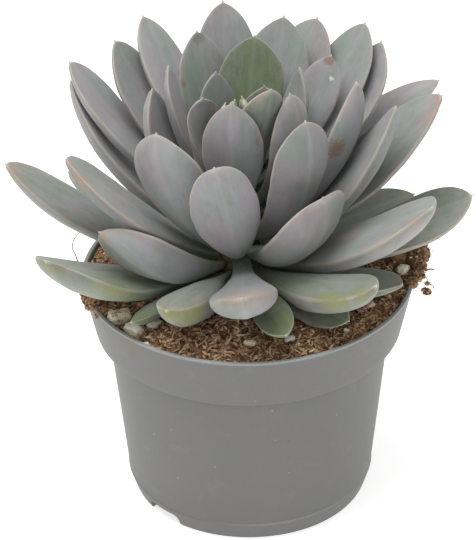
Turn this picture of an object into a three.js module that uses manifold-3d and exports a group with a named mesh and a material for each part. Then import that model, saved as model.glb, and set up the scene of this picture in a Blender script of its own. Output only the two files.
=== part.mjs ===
// Potted pachyphytum-type succulent: a rosette of thick grey leaves on a short stem,
// growing in a filled round plastic nursery pot. Millimetres, +Z up.
// Origin: centre of the pot's base, on the surface it stands on. -Y is the front.

import * as THREE from "three";
import Module from "manifold-3d";
import { mergeVertices } from "three/addons/utils/BufferGeometryUtils.js";

// ---------------------------------------------------------------- driving dimensions
const POT_HEIGHT = 87.65; // base to top of rim
const RIM_R = 60.0; // rim outer radius (12 cm pot)
const LIP = 1.4; // thickness of the rim's top edge
const COLLAR_Z = 66.75; // lower edge of the collar
const COLLAR_R = 55.4; // collar radius at its lower edge
const WALL_TOP_R = 51.2; // wall radius just under the collar
const FOOT_Z = 7.05; // where the wall turns in to the foot
const FOOT_TOP_R = 45.1;
const FOOT_R = 43.2; // radius at the standing edge
const WALL = 1.4; // wall thickness
const FLOOR = 1.8; // floor thickness
const NOTCHES = [223.5, 43.5]; // drainage notches, degrees from +X
const NOTCH_W = 15.6;
const NOTCH_H = 4.4;
const SEGMENTS = 60; // around the pot

const GAP = 0.35; // clearance between touching pieces
const SOIL_Z = POT_HEIGHT - 0.05; // level the soil heights are counted from
const SOIL_RISE = 1.5; // soil at the stem, above that level
const SOIL_FALL = 4.0; // drop from the stem to the rim

const STEM_AT = [-3.0, 1.0]; // stem axis in X, Y
const STEM_DEPTH = 14.0; // how far it is rooted under the soil level
const STEM_PROFILE = [
  // height above the soil level, radius
  [-STEM_DEPTH, 6.5],
  [-8.0, 8.3],
  [-4.0, 8.5],
  [6.0, 8.2],
  [13.0, 7.6],
  [20.0, 7.0],
  [26.0, 6.1],
  [32.0, 5.2],
  [42.0, 3.4],
  [48.0, 2.0],
  [49.6, 0.9],
  [50.0, 0.0],
];

const LEAF_STATIONS = [0, 0.07, 0.17, 0.3, 0.43, 0.55, 0.66, 0.76, 0.85, 0.92, 0.965, 0.992]; // sections along a leaf's flesh
const LEAF_SIDES = 8;
const LEAF_POINT = 1.1; // length of the hard point at a leaf's end
const YOUNG_POINT = 0.7; // and on the young leaves
const POINT_END = 0.25; // how far it passes the end of the leaf's length

// ---------------------------------------------------------------- finishes
const finish = (color, roughness) =>
  new THREE.MeshStandardMaterial({ color, roughness, metalness: 0 });

// ---------------------------------------------------------------- helpers
const rad = (deg) => (deg * Math.PI) / 180;

function interp(x, table) {
  if (x <= table[0][0]) return table[0][1];
  for (let i = 1; i < table.length; i++) {
    const [x0, y0] = table[i - 1];
    const [x1, y1] = table[i];
    if (x <= x1) return y0 + ((y1 - y0) * (x - x0)) / (x1 - x0);
  }
  return table[table.length - 1][1];
}

const group = new THREE.Group();

function add(name, geometry, material) {
  geometry.computeVertexNormals();
  const mesh = new THREE.Mesh(geometry, material);
  mesh.name = name;
  group.add(mesh);
  return mesh;
}

// Closed surface from a stack of rings, with a point at each end.
function skin(first, rings, last) {
  const n = rings[0].length;
  const pos = [];
  for (const ring of rings) for (const p of ring) pos.push(...p);
  const index = [];
  for (let k = 0; k + 1 < rings.length; k++) {
    for (let i = 0; i < n; i++) {
      const a = k * n + i;
      const b = k * n + ((i + 1) % n);
      const c = a + n;
      const d = b + n;
      index.push(a, d, b, a, c, d);
    }
  }
  const start = pos.length / 3;
  pos.push(...first, ...last);
  const top = (rings.length - 1) * n;
  for (let i = 0; i < n; i++) {
    const j = (i + 1) % n;
    index.push(start, i, j);
    index.push(start + 1, top + j, top + i);
  }
  const g = new THREE.BufferGeometry();
  g.setAttribute("position", new THREE.Float32BufferAttribute(pos, 3));
  g.setIndex(index);
  return g;
}

// Height of the soil surface above SOIL_Z at a place in the pot.
function soilHeight(x, y) {
  const r = Math.hypot(x, y) / 58;
  const bumps =
    0.35 * Math.sin(0.31 * x + 1.1) * Math.cos(0.27 * y - 0.6) +
    0.25 * Math.sin(0.19 * x - 0.41 * y);
  return SOIL_RISE - SOIL_FALL * r * r + bumps * 0.6 - 0.25;
}

// ---------------------------------------------------------------- pot
const wasm = await Module();
wasm.setup();

function toSolid(geometry) {
  const g = geometry.index ? geometry.toNonIndexed() : geometry.clone();
  g.deleteAttribute("normal");
  g.deleteAttribute("uv");
  const m = mergeVertices(g, 1e-5);
  return new wasm.Manifold(
    new wasm.Mesh({
      numProp: 3,
      vertProperties: new Float32Array(m.attributes.position.array),
      triVerts: new Uint32Array(m.index.array),
    }),
  );
}

function fromSolid(solid) {
  const mesh = solid.getMesh();
  const g = new THREE.BufferGeometry();
  g.setAttribute("position", new THREE.BufferAttribute(new Float32Array(mesh.vertProperties), 3));
  g.setIndex(new THREE.BufferAttribute(new Uint32Array(mesh.triVerts), 1));
  return g;
}

function lathe(profile, segments) {
  const g = new THREE.LatheGeometry(
    profile.map(([r, z]) => new THREE.Vector2(r, z)),
    segments,
  );
  g.rotateX(Math.PI / 2); // lathe axis Y becomes Z
  return g;
}

// inner wall radius at a height, used by the pot and by the soil in it
const INNER = [
  [FLOOR, FOOT_R - WALL + 0.4],
  [FOOT_Z + 0.6, FOOT_TOP_R - WALL],
  [COLLAR_Z - 1.6, WALL_TOP_R - WALL],
  [COLLAR_Z + 1.0, COLLAR_R - WALL + 0.1],
  [POT_HEIGHT - 0.4, RIM_R - LIP - 0.1],
];

const potProfile = [
  [0, 0],
  [FOOT_R - 0.5, 0],
  [FOOT_R, 0.5],
  [FOOT_TOP_R - 0.15, FOOT_Z - 0.35],
  [FOOT_TOP_R, FOOT_Z + 0.35],
  [WALL_TOP_R, COLLAR_Z - 0.5],
  [WALL_TOP_R + 0.4, COLLAR_Z],
  [COLLAR_R - 0.4, COLLAR_Z],
  [COLLAR_R, COLLAR_Z + 0.5],
  [RIM_R, POT_HEIGHT - 0.4],
  [RIM_R - 0.4, POT_HEIGHT],
  [RIM_R - LIP + 0.3, POT_HEIGHT],
  ...INNER.slice()
    .reverse()
    .map(([z, r]) => [r, z]),
  [0, FLOOR],
];

let pot = toSolid(lathe(potProfile, SEGMENTS));
for (const azimuth of NOTCHES) {
  const w = NOTCH_W / 2;
  const arch = new THREE.Shape();
  arch.moveTo(-w, -2);
  arch.lineTo(w, -2);
  arch.lineTo(w - 0.3, NOTCH_H - 2.2);
  arch.quadraticCurveTo(w - 0.5, NOTCH_H, w - 2.8, NOTCH_H);
  arch.lineTo(-w + 2.8, NOTCH_H);
  arch.quadraticCurveTo(-w + 0.5, NOTCH_H, -w + 0.3, NOTCH_H - 2.2);
  arch.closePath();
  const cutter = new THREE.ExtrudeGeometry(arch, {
    depth: 16,
    bevelEnabled: false,
    curveSegments: 3,
  });
  cutter.rotateX(Math.PI / 2); // arch stands up, cut runs along -Y
  cutter.rotateZ(rad(azimuth) - Math.PI / 2);
  const out = FOOT_R + 8;
  // the extrusion runs inward from outside the wall
  cutter.translate(out * Math.cos(rad(azimuth)), out * Math.sin(rad(azimuth)), 0);
  pot = pot.subtract(toSolid(cutter));
}
add("pot", fromSolid(pot), finish(0x80807d, 0.6));

// ---------------------------------------------------------------- soil
// Fills the pot to just under the rim, with a socket where the stem is rooted.
{
  const n = 40;
  const ringAt = (cx, cy, r, z) =>
    Array.from({ length: n }, (_, i) => {
      const a = (2 * Math.PI * i) / n;
      const x = cx + r * Math.cos(a);
      const y = cy + r * Math.sin(a);
      return [x, y, typeof z === "function" ? z(x, y) : z];
    });
  const surface = (x, y) => SOIL_Z + soilHeight(x, y);
  const pitR = 8.5 + GAP;
  const pitZ = SOIL_Z - STEM_DEPTH - GAP;
  const edgeR = interp(SOIL_Z + SOIL_RISE - SOIL_FALL - 0.6, INNER) - GAP;
  const rings = [ringAt(...STEM_AT, pitR - 1.5, pitZ), ringAt(...STEM_AT, pitR, pitZ + 2)];
  for (const s of [0, 0.14, 0.3, 0.46, 0.62, 0.78, 0.92, 1]) {
    rings.push(
      ringAt(STEM_AT[0] * (1 - s), STEM_AT[1] * (1 - s), pitR + (edgeR - pitR) * s, surface),
    );
  }
  for (const [z, r] of INNER.slice(0, 4).reverse()) {
    rings.push(ringAt(0, 0, r - GAP, Math.max(z, FLOOR + GAP)));
  }
  add(
    "soil",
    skin([...STEM_AT, pitZ], rings, [0, 0, FLOOR + GAP]),
    finish(0x4a3022, 0.95),
  );
}

// ---------------------------------------------------------------- stem
{
  const profile = STEM_PROFILE.map(([z, r]) => [r, SOIL_Z + z]);
  const g = lathe([[0, SOIL_Z - STEM_DEPTH], ...profile], 16);
  g.translate(STEM_AT[0], STEM_AT[1], 0);
  add("stem", fromSolid(toSolid(g)), finish(0x8f9470, 0.75));
}

// ---------------------------------------------------------------- leaves
// name, azimuth, height on the stem, first and last elevation, length, width, thickness,
// roll, twist, sideways bend, base width share, widest place, tip shape p and q, curl exponent,
// base thickness share, cupping. Degrees, millimetres, shares of one.
const LEAVES = [
  ["outer_leaf_01", 308.18, 3.78, 3.89, 6.96, 52.44, 15.41, 4.97, -33.15, -10.79, 0.5, 0.21, 0.67, 2.32, 0.78, 1, 0.49, 0.1],
  ["outer_leaf_02", 225.26, 2.68, 3.41, 10.77, 52.77, 6.6, 7.2, -6.09, 1.84, 15, 0.2, 0.68, 2.28, 0.79, 1.05, 0.53, 0.1],
  ["outer_leaf_03", 285.85, 3.89, 2.97, 14.47, 55.42, 13.05, 5.83, -21.21, 0.84, -3.2, 0.19, 0.66, 2.33, 0.76, 1.03, 0.42, 0.1],
  ["outer_leaf_04", 330.55, 3.84, 4.58, 23.19, 63.52, 16.54, 7.31, 3.97, -11.83, -15.3, 0.19, 0.7, 2.2, 0.84, 0.95, 0.32, 0.1],
  ["outer_leaf_05", 183.28, 3.85, 14.88, 47.96, 90.92, 21.45, 8.47, 6.45, 8.05, 20.63, 0.16, 0.69, 2.32, 0.79, 0.65, 0.57, 0.1],
  ["outer_leaf_06", 21.6, 4.53, 7.84, 9.95, 61.74, 20.62, 7.97, -4.02, -7.88, 4.53, 0.18, 0.67, 2.39, 0.8, 1, 0.54, 0.1],
  ["outer_leaf_07", 245.48, 3.72, 12.49, 22.38, 56.09, 17.35, 12.69, -29.17, 25.77, 1.97, 0.18, 0.62, 2.62, 0.58, 1.11, 0.45, 0.1],
  ["outer_leaf_08", 208.68, 4.45, -2.26, 44.82, 87.13, 28.09, 9.41, 2.28, -4.85, 26.13, 0.16, 0.73, 2.47, 0.76, 0.78, 0.3, 0.1],
  ["outer_leaf_09", 55.09, 4.84, 1.98, 14, 60, 20.95, 6.5, 0.47, 0, 0, 0.29, 0.62, 2.2, 0.8, 1, 0.55, 0.1],
  ["outer_leaf_10", 103.02, 4.91, 1, 14, 60, 21, 6.5, 0, 0, 0, 0.3, 0.62, 2.2, 0.8, 1, 0.55, 0.1],
  ["outer_leaf_11", -5.33, 5, 8.01, 33.77, 79.82, 23.41, 8.49, -6.15, -13.65, 4.87, 0.18, 0.71, 2.62, 0.68, 1.01, 0.49, 0.1],
  ["outer_leaf_12", 300.07, 6.14, 11.64, 31.71, 75.65, 17.37, 12.53, 6.63, -20.13, 13.98, 0.16, 0.7, 2.52, 0.59, 1.08, 0.31, 0.1],
  ["outer_leaf_13", 226, 6.99, 16.39, 41.27, 59.69, 16.51, 11.62, -27.51, -52.61, -26.87, 0.2, 0.65, 2.18, 0.66, 0.68, 0.45, 0.1],
  ["outer_leaf_14", 329.74, 7.83, 10.04, 43.71, 86.03, 30.9, 10.23, -6.79, -2.4, -10.79, 0.16, 0.7, 2.48, 0.68, 0.5, 0.3, 0.1],
  ["outer_leaf_15", 161.53, 8.02, 13.56, 24.59, 60.7, 20.57, 7.91, -18.72, -0.22, -5.59, 0.25, 0.64, 2.25, 0.77, 1.01, 0.5, 0.1],
  ["outer_leaf_16", 273.84, 8.68, 12.5, 41.87, 64.64, 23.48, 11.72, -8.17, -2.31, -7.9, 0.28, 0.74, 2.91, 0.43, 2.31, 0.36, 0.1],
  ["outer_leaf_17", 77.89, 8.55, 6.09, 26, 64, 23, 7, 0, 0, 0, 0.3, 0.62, 2.2, 0.8, 1, 0.55, 0.1],
  ["outer_leaf_18", 10.7, 9.07, 27.84, 52.4, 88.21, 25.85, 7.64, -25.61, 7.14, -22.78, 0.21, 0.61, 2.21, 0.76, 0.5, 0.45, 0.1],
  ["outer_leaf_19", 125.87, 9.21, 6.92, 26, 66, 22.98, 7, -0.17, 0, 0, 0.3, 0.62, 2.2, 0.8, 1, 0.55, 0.1],
  ["middle_leaf_01", 203.75, 10.7, 26.97, 51.77, 77.4, 25.77, 7.79, 5.87, 6.38, 3.02, 0.26, 0.64, 2.25, 0.78, 0.54, 0.46, 0.1],
  ["middle_leaf_02", 347.65, 11.75, 21.61, 69.18, 79.11, 23.2, 7.68, -12.41, 6.13, 1.65, 0.23, 0.61, 2.2, 0.81, 0.53, 0.49, 0.1],
  ["middle_leaf_03", 266.44, 12.29, 34.94, 70.11, 65.76, 23.69, 8.4, -12.32, -26.06, -21.66, 0.2, 0.56, 2.76, 0.45, 0.5, 0.3, 0.1],
  ["middle_leaf_04", 307.95, 12.91, 11.52, 68.68, 56.49, 29.17, 9.4, 10.71, -15.41, 1.44, 0.24, 0.67, 2.99, 0.36, 0.66, 0.54, 0.1],
  ["middle_leaf_05", 162.29, 12.81, 20.5, 63.38, 78, 24.27, 7.29, -16.9, -4.69, -7.51, 0.3, 0.62, 2.28, 0.75, 0.8, 0.54, 0.1],
  ["middle_leaf_06", 49.26, 13.5, 17.86, 37.85, 70, 23, 7, 0.35, -0.04, 0.02, 0.3, 0.62, 2.2, 0.8, 1, 0.55, 0.1],
  ["middle_leaf_07", 223.89, 15.64, 47.96, 78.43, 63.63, 27.35, 7.92, -29.39, 6.49, -5.8, 0.3, 0.65, 2.43, 0.8, 0.99, 0.55, 0.1],
  ["middle_leaf_08", 81.61, 16.72, 19.47, 40, 66, 22.97, 6.97, 2.16, 0, 0, 0.29, 0.62, 2.2, 0.8, 1, 0.54, 0.1],
  ["middle_leaf_09", 38.91, 18.08, 26.16, 27.21, 83.63, 18.81, 6.77, -8.65, 1.28, -24.69, 0.27, 0.65, 2.24, 0.78, 0.99, 0.55, 0.1],
  ["middle_leaf_10", 111.63, 20.13, 21.21, 42, 66, 22.99, 6.98, 0.93, 0, 0, 0.3, 0.62, 2.2, 0.8, 1, 0.54, 0.1],
  ["middle_leaf_11", 158.81, 18.4, 36.69, 52.77, 78.26, 24.41, 7.33, -18.19, 10.5, 1.88, 0.31, 0.67, 2.48, 0.75, 0.85, 0.57, 0.1],
  ["middle_leaf_12", -5.73, 20.52, 34.62, 84.95, 69.48, 20.89, 7.29, 23.22, 4.06, -0.3, 0.29, 0.61, 2.2, 0.76, 0.93, 0.55, 0.1],
  ["middle_leaf_13", 314.65, 19.94, 35.51, 86.93, 64.67, 22.28, 8.55, 12.58, -13.68, -14.43, 0.29, 0.71, 2.48, 0.76, 0.75, 0.53, 0.1],
  ["middle_leaf_14", 21.59, 22.46, 25.83, 63.15, 76.72, 23.91, 6.67, 21.15, -5.16, 28.71, 0.24, 0.72, 2.22, 0.88, 1.05, 0.46, 0.1],
  ["middle_leaf_15", 140.74, 23.76, 35.18, 65.03, 71.32, 24.93, 6.91, -15.54, 9.25, 9.59, 0.26, 0.68, 2.55, 0.78, 1.08, 0.48, 0.1],
  ["inner_leaf_01", 35.51, 25.83, 33.26, 57.54, 75.82, 26.67, 6.79, 20.22, -14.65, 11.28, 0.3, 0.66, 2.3, 0.79, 0.98, 0.45, 0.1],
  ["inner_leaf_02", 263.17, 26.24, 73.58, 83.81, 54.55, 21.55, 7.39, -4.29, 2.94, 0.4, 0.3, 0.62, 2.2, 0.82, 0.99, 0.55, 0.1],
  ["inner_leaf_03", 127.39, 27.69, 42.83, 52.53, 71.48, 23.65, 7.28, -29.81, 12.02, 0.46, 0.23, 0.65, 2.37, 0.78, 1.03, 0.44, 0.1],
  ["inner_leaf_04", 172.91, 27.97, 38.05, 90.41, 52.06, 20.83, 7.15, 16.6, -2.71, -1.48, 0.27, 0.55, 2.02, 0.81, 1.08, 0.49, 0.1],
  ["inner_leaf_05", 95.5, 27.83, 38.89, 63.89, 70.58, 24.92, 6.93, -31.16, 11.67, 0.5, 0.2, 0.66, 2.38, 0.78, 1.06, 0.36, 0.1],
  ["inner_leaf_06", 60.14, 28.85, 36.95, 53.95, 68.43, 23.98, 6.75, 2.92, -3.06, -5, 0.23, 0.69, 2.43, 0.76, 0.97, 0.5, 0.1],
  ["inner_leaf_07", 207.04, 29.86, 53.65, 98.8, 45.62, 15.22, 4.04, -32.03, 64.59, -56.56, 0.28, 0.79, 2.61, 0.75, 0.59, 0.56, 0.1],
  ["inner_leaf_08", 28.18, 31.24, 37.96, 65.54, 55.89, 16.07, 6.51, -17.7, -12.85, 14.5, 0.25, 0.71, 2.42, 0.81, 0.86, 0.41, 0.1],
  ["inner_leaf_09", 336.6, 31.79, 50.67, 97.4, 48.45, 18.86, 6.46, 7.4, 5.26, -7.72, 0.3, 0.64, 2.27, 0.78, 0.98, 0.55, 0.1],
  ["inner_leaf_10", 120.47, 33.03, 54.61, 77.81, 55.92, 19.24, 7.32, -1.91, 0.78, -4.06, 0.28, 0.65, 2.29, 0.79, 0.98, 0.5, 0.1],
  ["inner_leaf_11", 169.48, 32.2, 45.77, 83.75, 52.34, 13.04, 5.11, -23.32, 15.43, -14.6, 0.22, 0.69, 2.18, 0.8, 0.62, 0.54, 0.1],
  ["inner_leaf_12", 65.11, 33.75, 41.38, 68.72, 61.08, 23.07, 5.9, -3.35, -16.8, 2.05, 0.21, 0.69, 2.14, 0.83, 1.06, 0.45, 0.1],
  ["inner_leaf_13", 20.01, 35.35, 45.93, 92.74, 47.74, 14.65, 5.75, -17.2, 6.7, -2.88, 0.29, 0.61, 1.92, 0.86, 1.05, 0.51, 0.1],
  ["inner_leaf_14", 311.68, 37.61, 87.48, 59.42, 46.79, 17.36, 6.25, 2.33, 11.48, -5.16, 0.3, 0.65, 2.26, 0.85, 1.21, 0.54, 0.1],
  ["inner_leaf_15", 132.53, 38.44, 68.8, 95.08, 39.01, 14.09, 5.99, 8.13, 5.61, -3.62, 0.3, 0.62, 2.14, 0.83, 0.96, 0.55, 0.1],
  ["inner_leaf_16", 76.28, 38.39, 55.93, 81.37, 48.74, 23.44, 6.91, -13.67, 2.88, -5.1, 0.26, 0.64, 2.3, 0.79, 1.05, 0.47, 0.2],
  ["inner_leaf_17", 31.24, 39.57, 64.5, 94.9, 33.56, 17.87, 5.07, -22.83, -14.28, 14.96, 0.27, 0.62, 2.04, 0.87, 0.97, 0.49, 0.1],
  ["heart_leaf_01", 190.69, 40.7, 80.77, 103.27, 28.88, 8.22, 4.02, 2.65, 0.56, -2.46, 0.5, 0.61, 2.18, 0.81, 1.01, 0.61, 0.1],
  ["heart_leaf_02", 255.21, 45.45, 80.91, 86.79, 28.08, 7.55, 3.92, -17.47, -2.19, 0.58, 0.5, 0.62, 2.2, 0.8, 1.02, 0.6, 0.1],
  ["heart_leaf_03", 40.67, 45.66, 87.61, 102.24, 25.26, 7.96, 3.91, 12.81, 2.17, -3.02, 0.5, 0.62, 2.2, 0.8, 0.95, 0.58, 0.1],
  ["heart_leaf_04", 134.04, 46.23, 91.75, 101.11, 23.64, 6.56, 3.93, -13.26, -2.21, 2.95, 0.5, 0.62, 2.19, 0.8, 0.95, 0.59, 0.1],
];

const STONES = [
  // name, x, y, half sizes, turn
  ["pumice_1", -45.6, -28.6, 4.4, 2.6, 2.3, 20],
  ["pumice_2", -40.4, -36.2, 3.6, 2.1, 1.9, -35],
];

function leafRing(leaf, t) {
  const [, phi, z0, e0, e1, L, W, T, roll, twist, bend, wb, tm, p, q, ep, tb, cup] = leaf;
  // centreline: the leaf leaves the stem at elevation e0 and curves up to e1
  const steps = 48;
  const at = new THREE.Vector3();
  const heading = (s) => {
    const e = rad(e0 + (e1 - e0) * Math.pow(s, ep));
    const h = rad(phi + bend * s);
    return [e, h];
  };
  for (let i = 0; i < steps; i++) {
    const share = i === steps - 1 ? t * steps - i : Math.min(t * steps - i, 1);
    if (share <= 0) break;
    const [e, h] = heading((i + 0.5) / steps);
    const step = (L / steps) * share;
    at.x += Math.cos(e) * Math.cos(h) * step;
    at.y += Math.cos(e) * Math.sin(h) * step;
    at.z += Math.sin(e) * step;
  }
  const r0 =
    interp(z0, STEM_PROFILE) + 0.5 + 0.45 * T * tb * Math.max(Math.sin(rad(e0)), 0);
  at.x += STEM_AT[0] + r0 * Math.cos(rad(phi));
  at.y += STEM_AT[1] + r0 * Math.sin(rad(phi));
  at.z += SOIL_Z + z0;

  const [e, h] = heading(t);
  const along = new THREE.Vector3(Math.cos(e) * Math.cos(h), Math.cos(e) * Math.sin(h), Math.sin(e));
  const up = new THREE.Vector3(-Math.sin(e) * Math.cos(h), -Math.sin(e) * Math.sin(h), Math.cos(e));
  const side = new THREE.Vector3().crossVectors(along, up);
  const r = rad(roll + twist * t);
  const w = side.clone().multiplyScalar(Math.cos(r)).addScaledVector(up, Math.sin(r));
  const n = up.clone().multiplyScalar(Math.cos(r)).addScaledVector(side, -Math.sin(r));

  // the fleshy part ends a little before the small hard point
  const nib = leaf[0].startsWith("heart") ? YOUNG_POINT : LEAF_POINT;
  const s = Math.min(t / (1 - (nib - 0.35) / L), 1);

  // half width: narrow at the stem, widest at tm, then a round shoulder
  let a;
  if (s < tm) {
    const u = s / tm;
    a = (W / 2) * (wb + (1 - wb) * (0.6 * u * u * (3 - 2 * u) + 0.4 * Math.sin((u * Math.PI) / 2)));
  } else {
    const v = (s - tm) / (1 - tm);
    a = (W / 2) * Math.pow(Math.max(1 - Math.pow(v, p), 0), q * (q > 0.7 ? 0.9 : 1));
  }
  // half thickness
  let b;
  if (s < 0.45) b = (T / 2) * (tb + (1 - tb) * Math.sin((s / 0.45) * (Math.PI / 2)));
  else b = (T / 2) * Math.pow(Math.max(1 - Math.pow((s - 0.45) / 0.55, 2.6), 0), 0.46 + 0.2 * q);
  b = Math.min(b, 0.9 * a);

  // the hard point at the end, with a hollow shoulder
  const left = (1 + POINT_END / L - t) * L;
  if (left < 4) {
    const fade = Math.min(Math.max((4 - left) / 2.4, 0), 1);
    const k = (0.2 + 0.4 * Math.pow(left / nib, 1.3)) * Math.sqrt(Math.min(1, Math.max(left, 0) / 0.3)) * fade;
    a = Math.pow(Math.pow(a, 2.6) + Math.pow(k, 2.6), 1 / 2.6);
    b = Math.pow(Math.pow(b, 2.6) + Math.pow(0.8 * k, 2.6), 1 / 2.6);
  }

  const ring = [];
  for (let i = 0; i < LEAF_SIDES; i++) {
    const th = (2 * Math.PI * i) / LEAF_SIDES;
    const x = Math.cos(th);
    const z = Math.sin(th);
    const y = Math.sign(z) * Math.pow(Math.abs(z), 1.1) * (z > 0 ? 0.6 : 1.4);
    const X = a * x;
    const Y = b * y + cup * a * (x * x - 0.35);
    const v = at.clone().addScaledVector(w, X).addScaledVector(n, Y);
    ring.push([v.x, v.y, v.z]);
  }
  return { ring, at: [at.x, at.y, at.z] };
}

for (const leaf of LEAVES) {
  const heart = leaf[0].startsWith("heart");
  const L = leaf[6];
  const fleshy = 1 - ((heart ? YOUNG_POINT : LEAF_POINT) - 0.35) / L;
  const stations = LEAF_STATIONS.map((t) => t * fleshy);
  if (!heart) stations.push(1 - 0.45 / L);
  const rings = stations.map((t) => leafRing(leaf, t).ring);
  const centre = (ring) => ring.reduce((m, v) => m.map((c, k) => c + v[k] / ring.length), [0, 0, 0]);
  add(
    leaf[0],
    skin(centre(rings[0]), rings, leafRing(leaf, 1 + POINT_END / L).at),
    finish(heart ? 0xb7b596 : 0x9c9d9c, 0.6),
  );
}

// ---------------------------------------------------------------- stones on the soil
for (const [name, x, y, sx, sy, sz, turn] of STONES) {
  const g = new THREE.IcosahedronGeometry(1, 1);
  g.deleteAttribute("normal");
  g.deleteAttribute("uv");
  const m = mergeVertices(g, 1e-4);
  const pos = m.attributes.position;
  for (let i = 0; i < pos.count; i++) {
    const v = new THREE.Vector3().fromBufferAttribute(pos, i);
    const k = 1 + 0.13 * Math.sin(5 * v.x + 3 * v.y + turn) + 0.08 * Math.cos(7 * v.z - 4 * v.y);
    v.multiplyScalar(k);
    pos.setXYZ(i, v.x * sx, v.y * sy, v.z * sz);
  }
  m.rotateZ(rad(turn));
  m.computeBoundingBox();
  // it lies on the highest soil under it
  let ground = -Infinity;
  for (let i = 0; i < pos.count; i++) {
    ground = Math.max(ground, soilHeight(x + pos.getX(i), y + pos.getY(i)));
  }
  m.translate(x, y, SOIL_Z + ground + GAP - m.boundingBox.min.z);
  add(name, m, finish(0xb59c7c, 0.9));
}

export default group;
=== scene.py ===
import math
import random

import bpy
import numpy as np
from mathutils import Matrix, Vector, noise


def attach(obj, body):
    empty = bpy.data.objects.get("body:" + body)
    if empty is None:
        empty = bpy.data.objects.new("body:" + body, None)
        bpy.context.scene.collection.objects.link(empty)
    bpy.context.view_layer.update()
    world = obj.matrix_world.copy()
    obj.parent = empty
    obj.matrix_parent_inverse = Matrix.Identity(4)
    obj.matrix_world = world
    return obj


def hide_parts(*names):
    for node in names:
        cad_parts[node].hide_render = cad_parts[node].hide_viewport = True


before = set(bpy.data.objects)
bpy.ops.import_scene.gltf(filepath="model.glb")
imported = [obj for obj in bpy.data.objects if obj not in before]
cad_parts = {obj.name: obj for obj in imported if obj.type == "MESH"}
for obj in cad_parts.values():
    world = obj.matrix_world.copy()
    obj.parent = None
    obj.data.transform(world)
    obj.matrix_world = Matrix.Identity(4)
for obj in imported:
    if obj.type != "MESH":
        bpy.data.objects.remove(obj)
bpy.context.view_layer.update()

MM = 0.001
SOIL_Z = 87.6
STEM_AT = np.array([-3.0, 1.0])
STEM_PROFILE = [
    (-14.0, 6.5), (-8.0, 8.3), (-4.0, 8.5), (6.0, 8.2), (13.0, 7.6), (20.0, 7.0),
    (26.0, 6.1), (32.0, 5.2), (42.0, 3.4), (48.0, 2.0), (49.6, 0.9), (50.0, 0.0),
]

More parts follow.
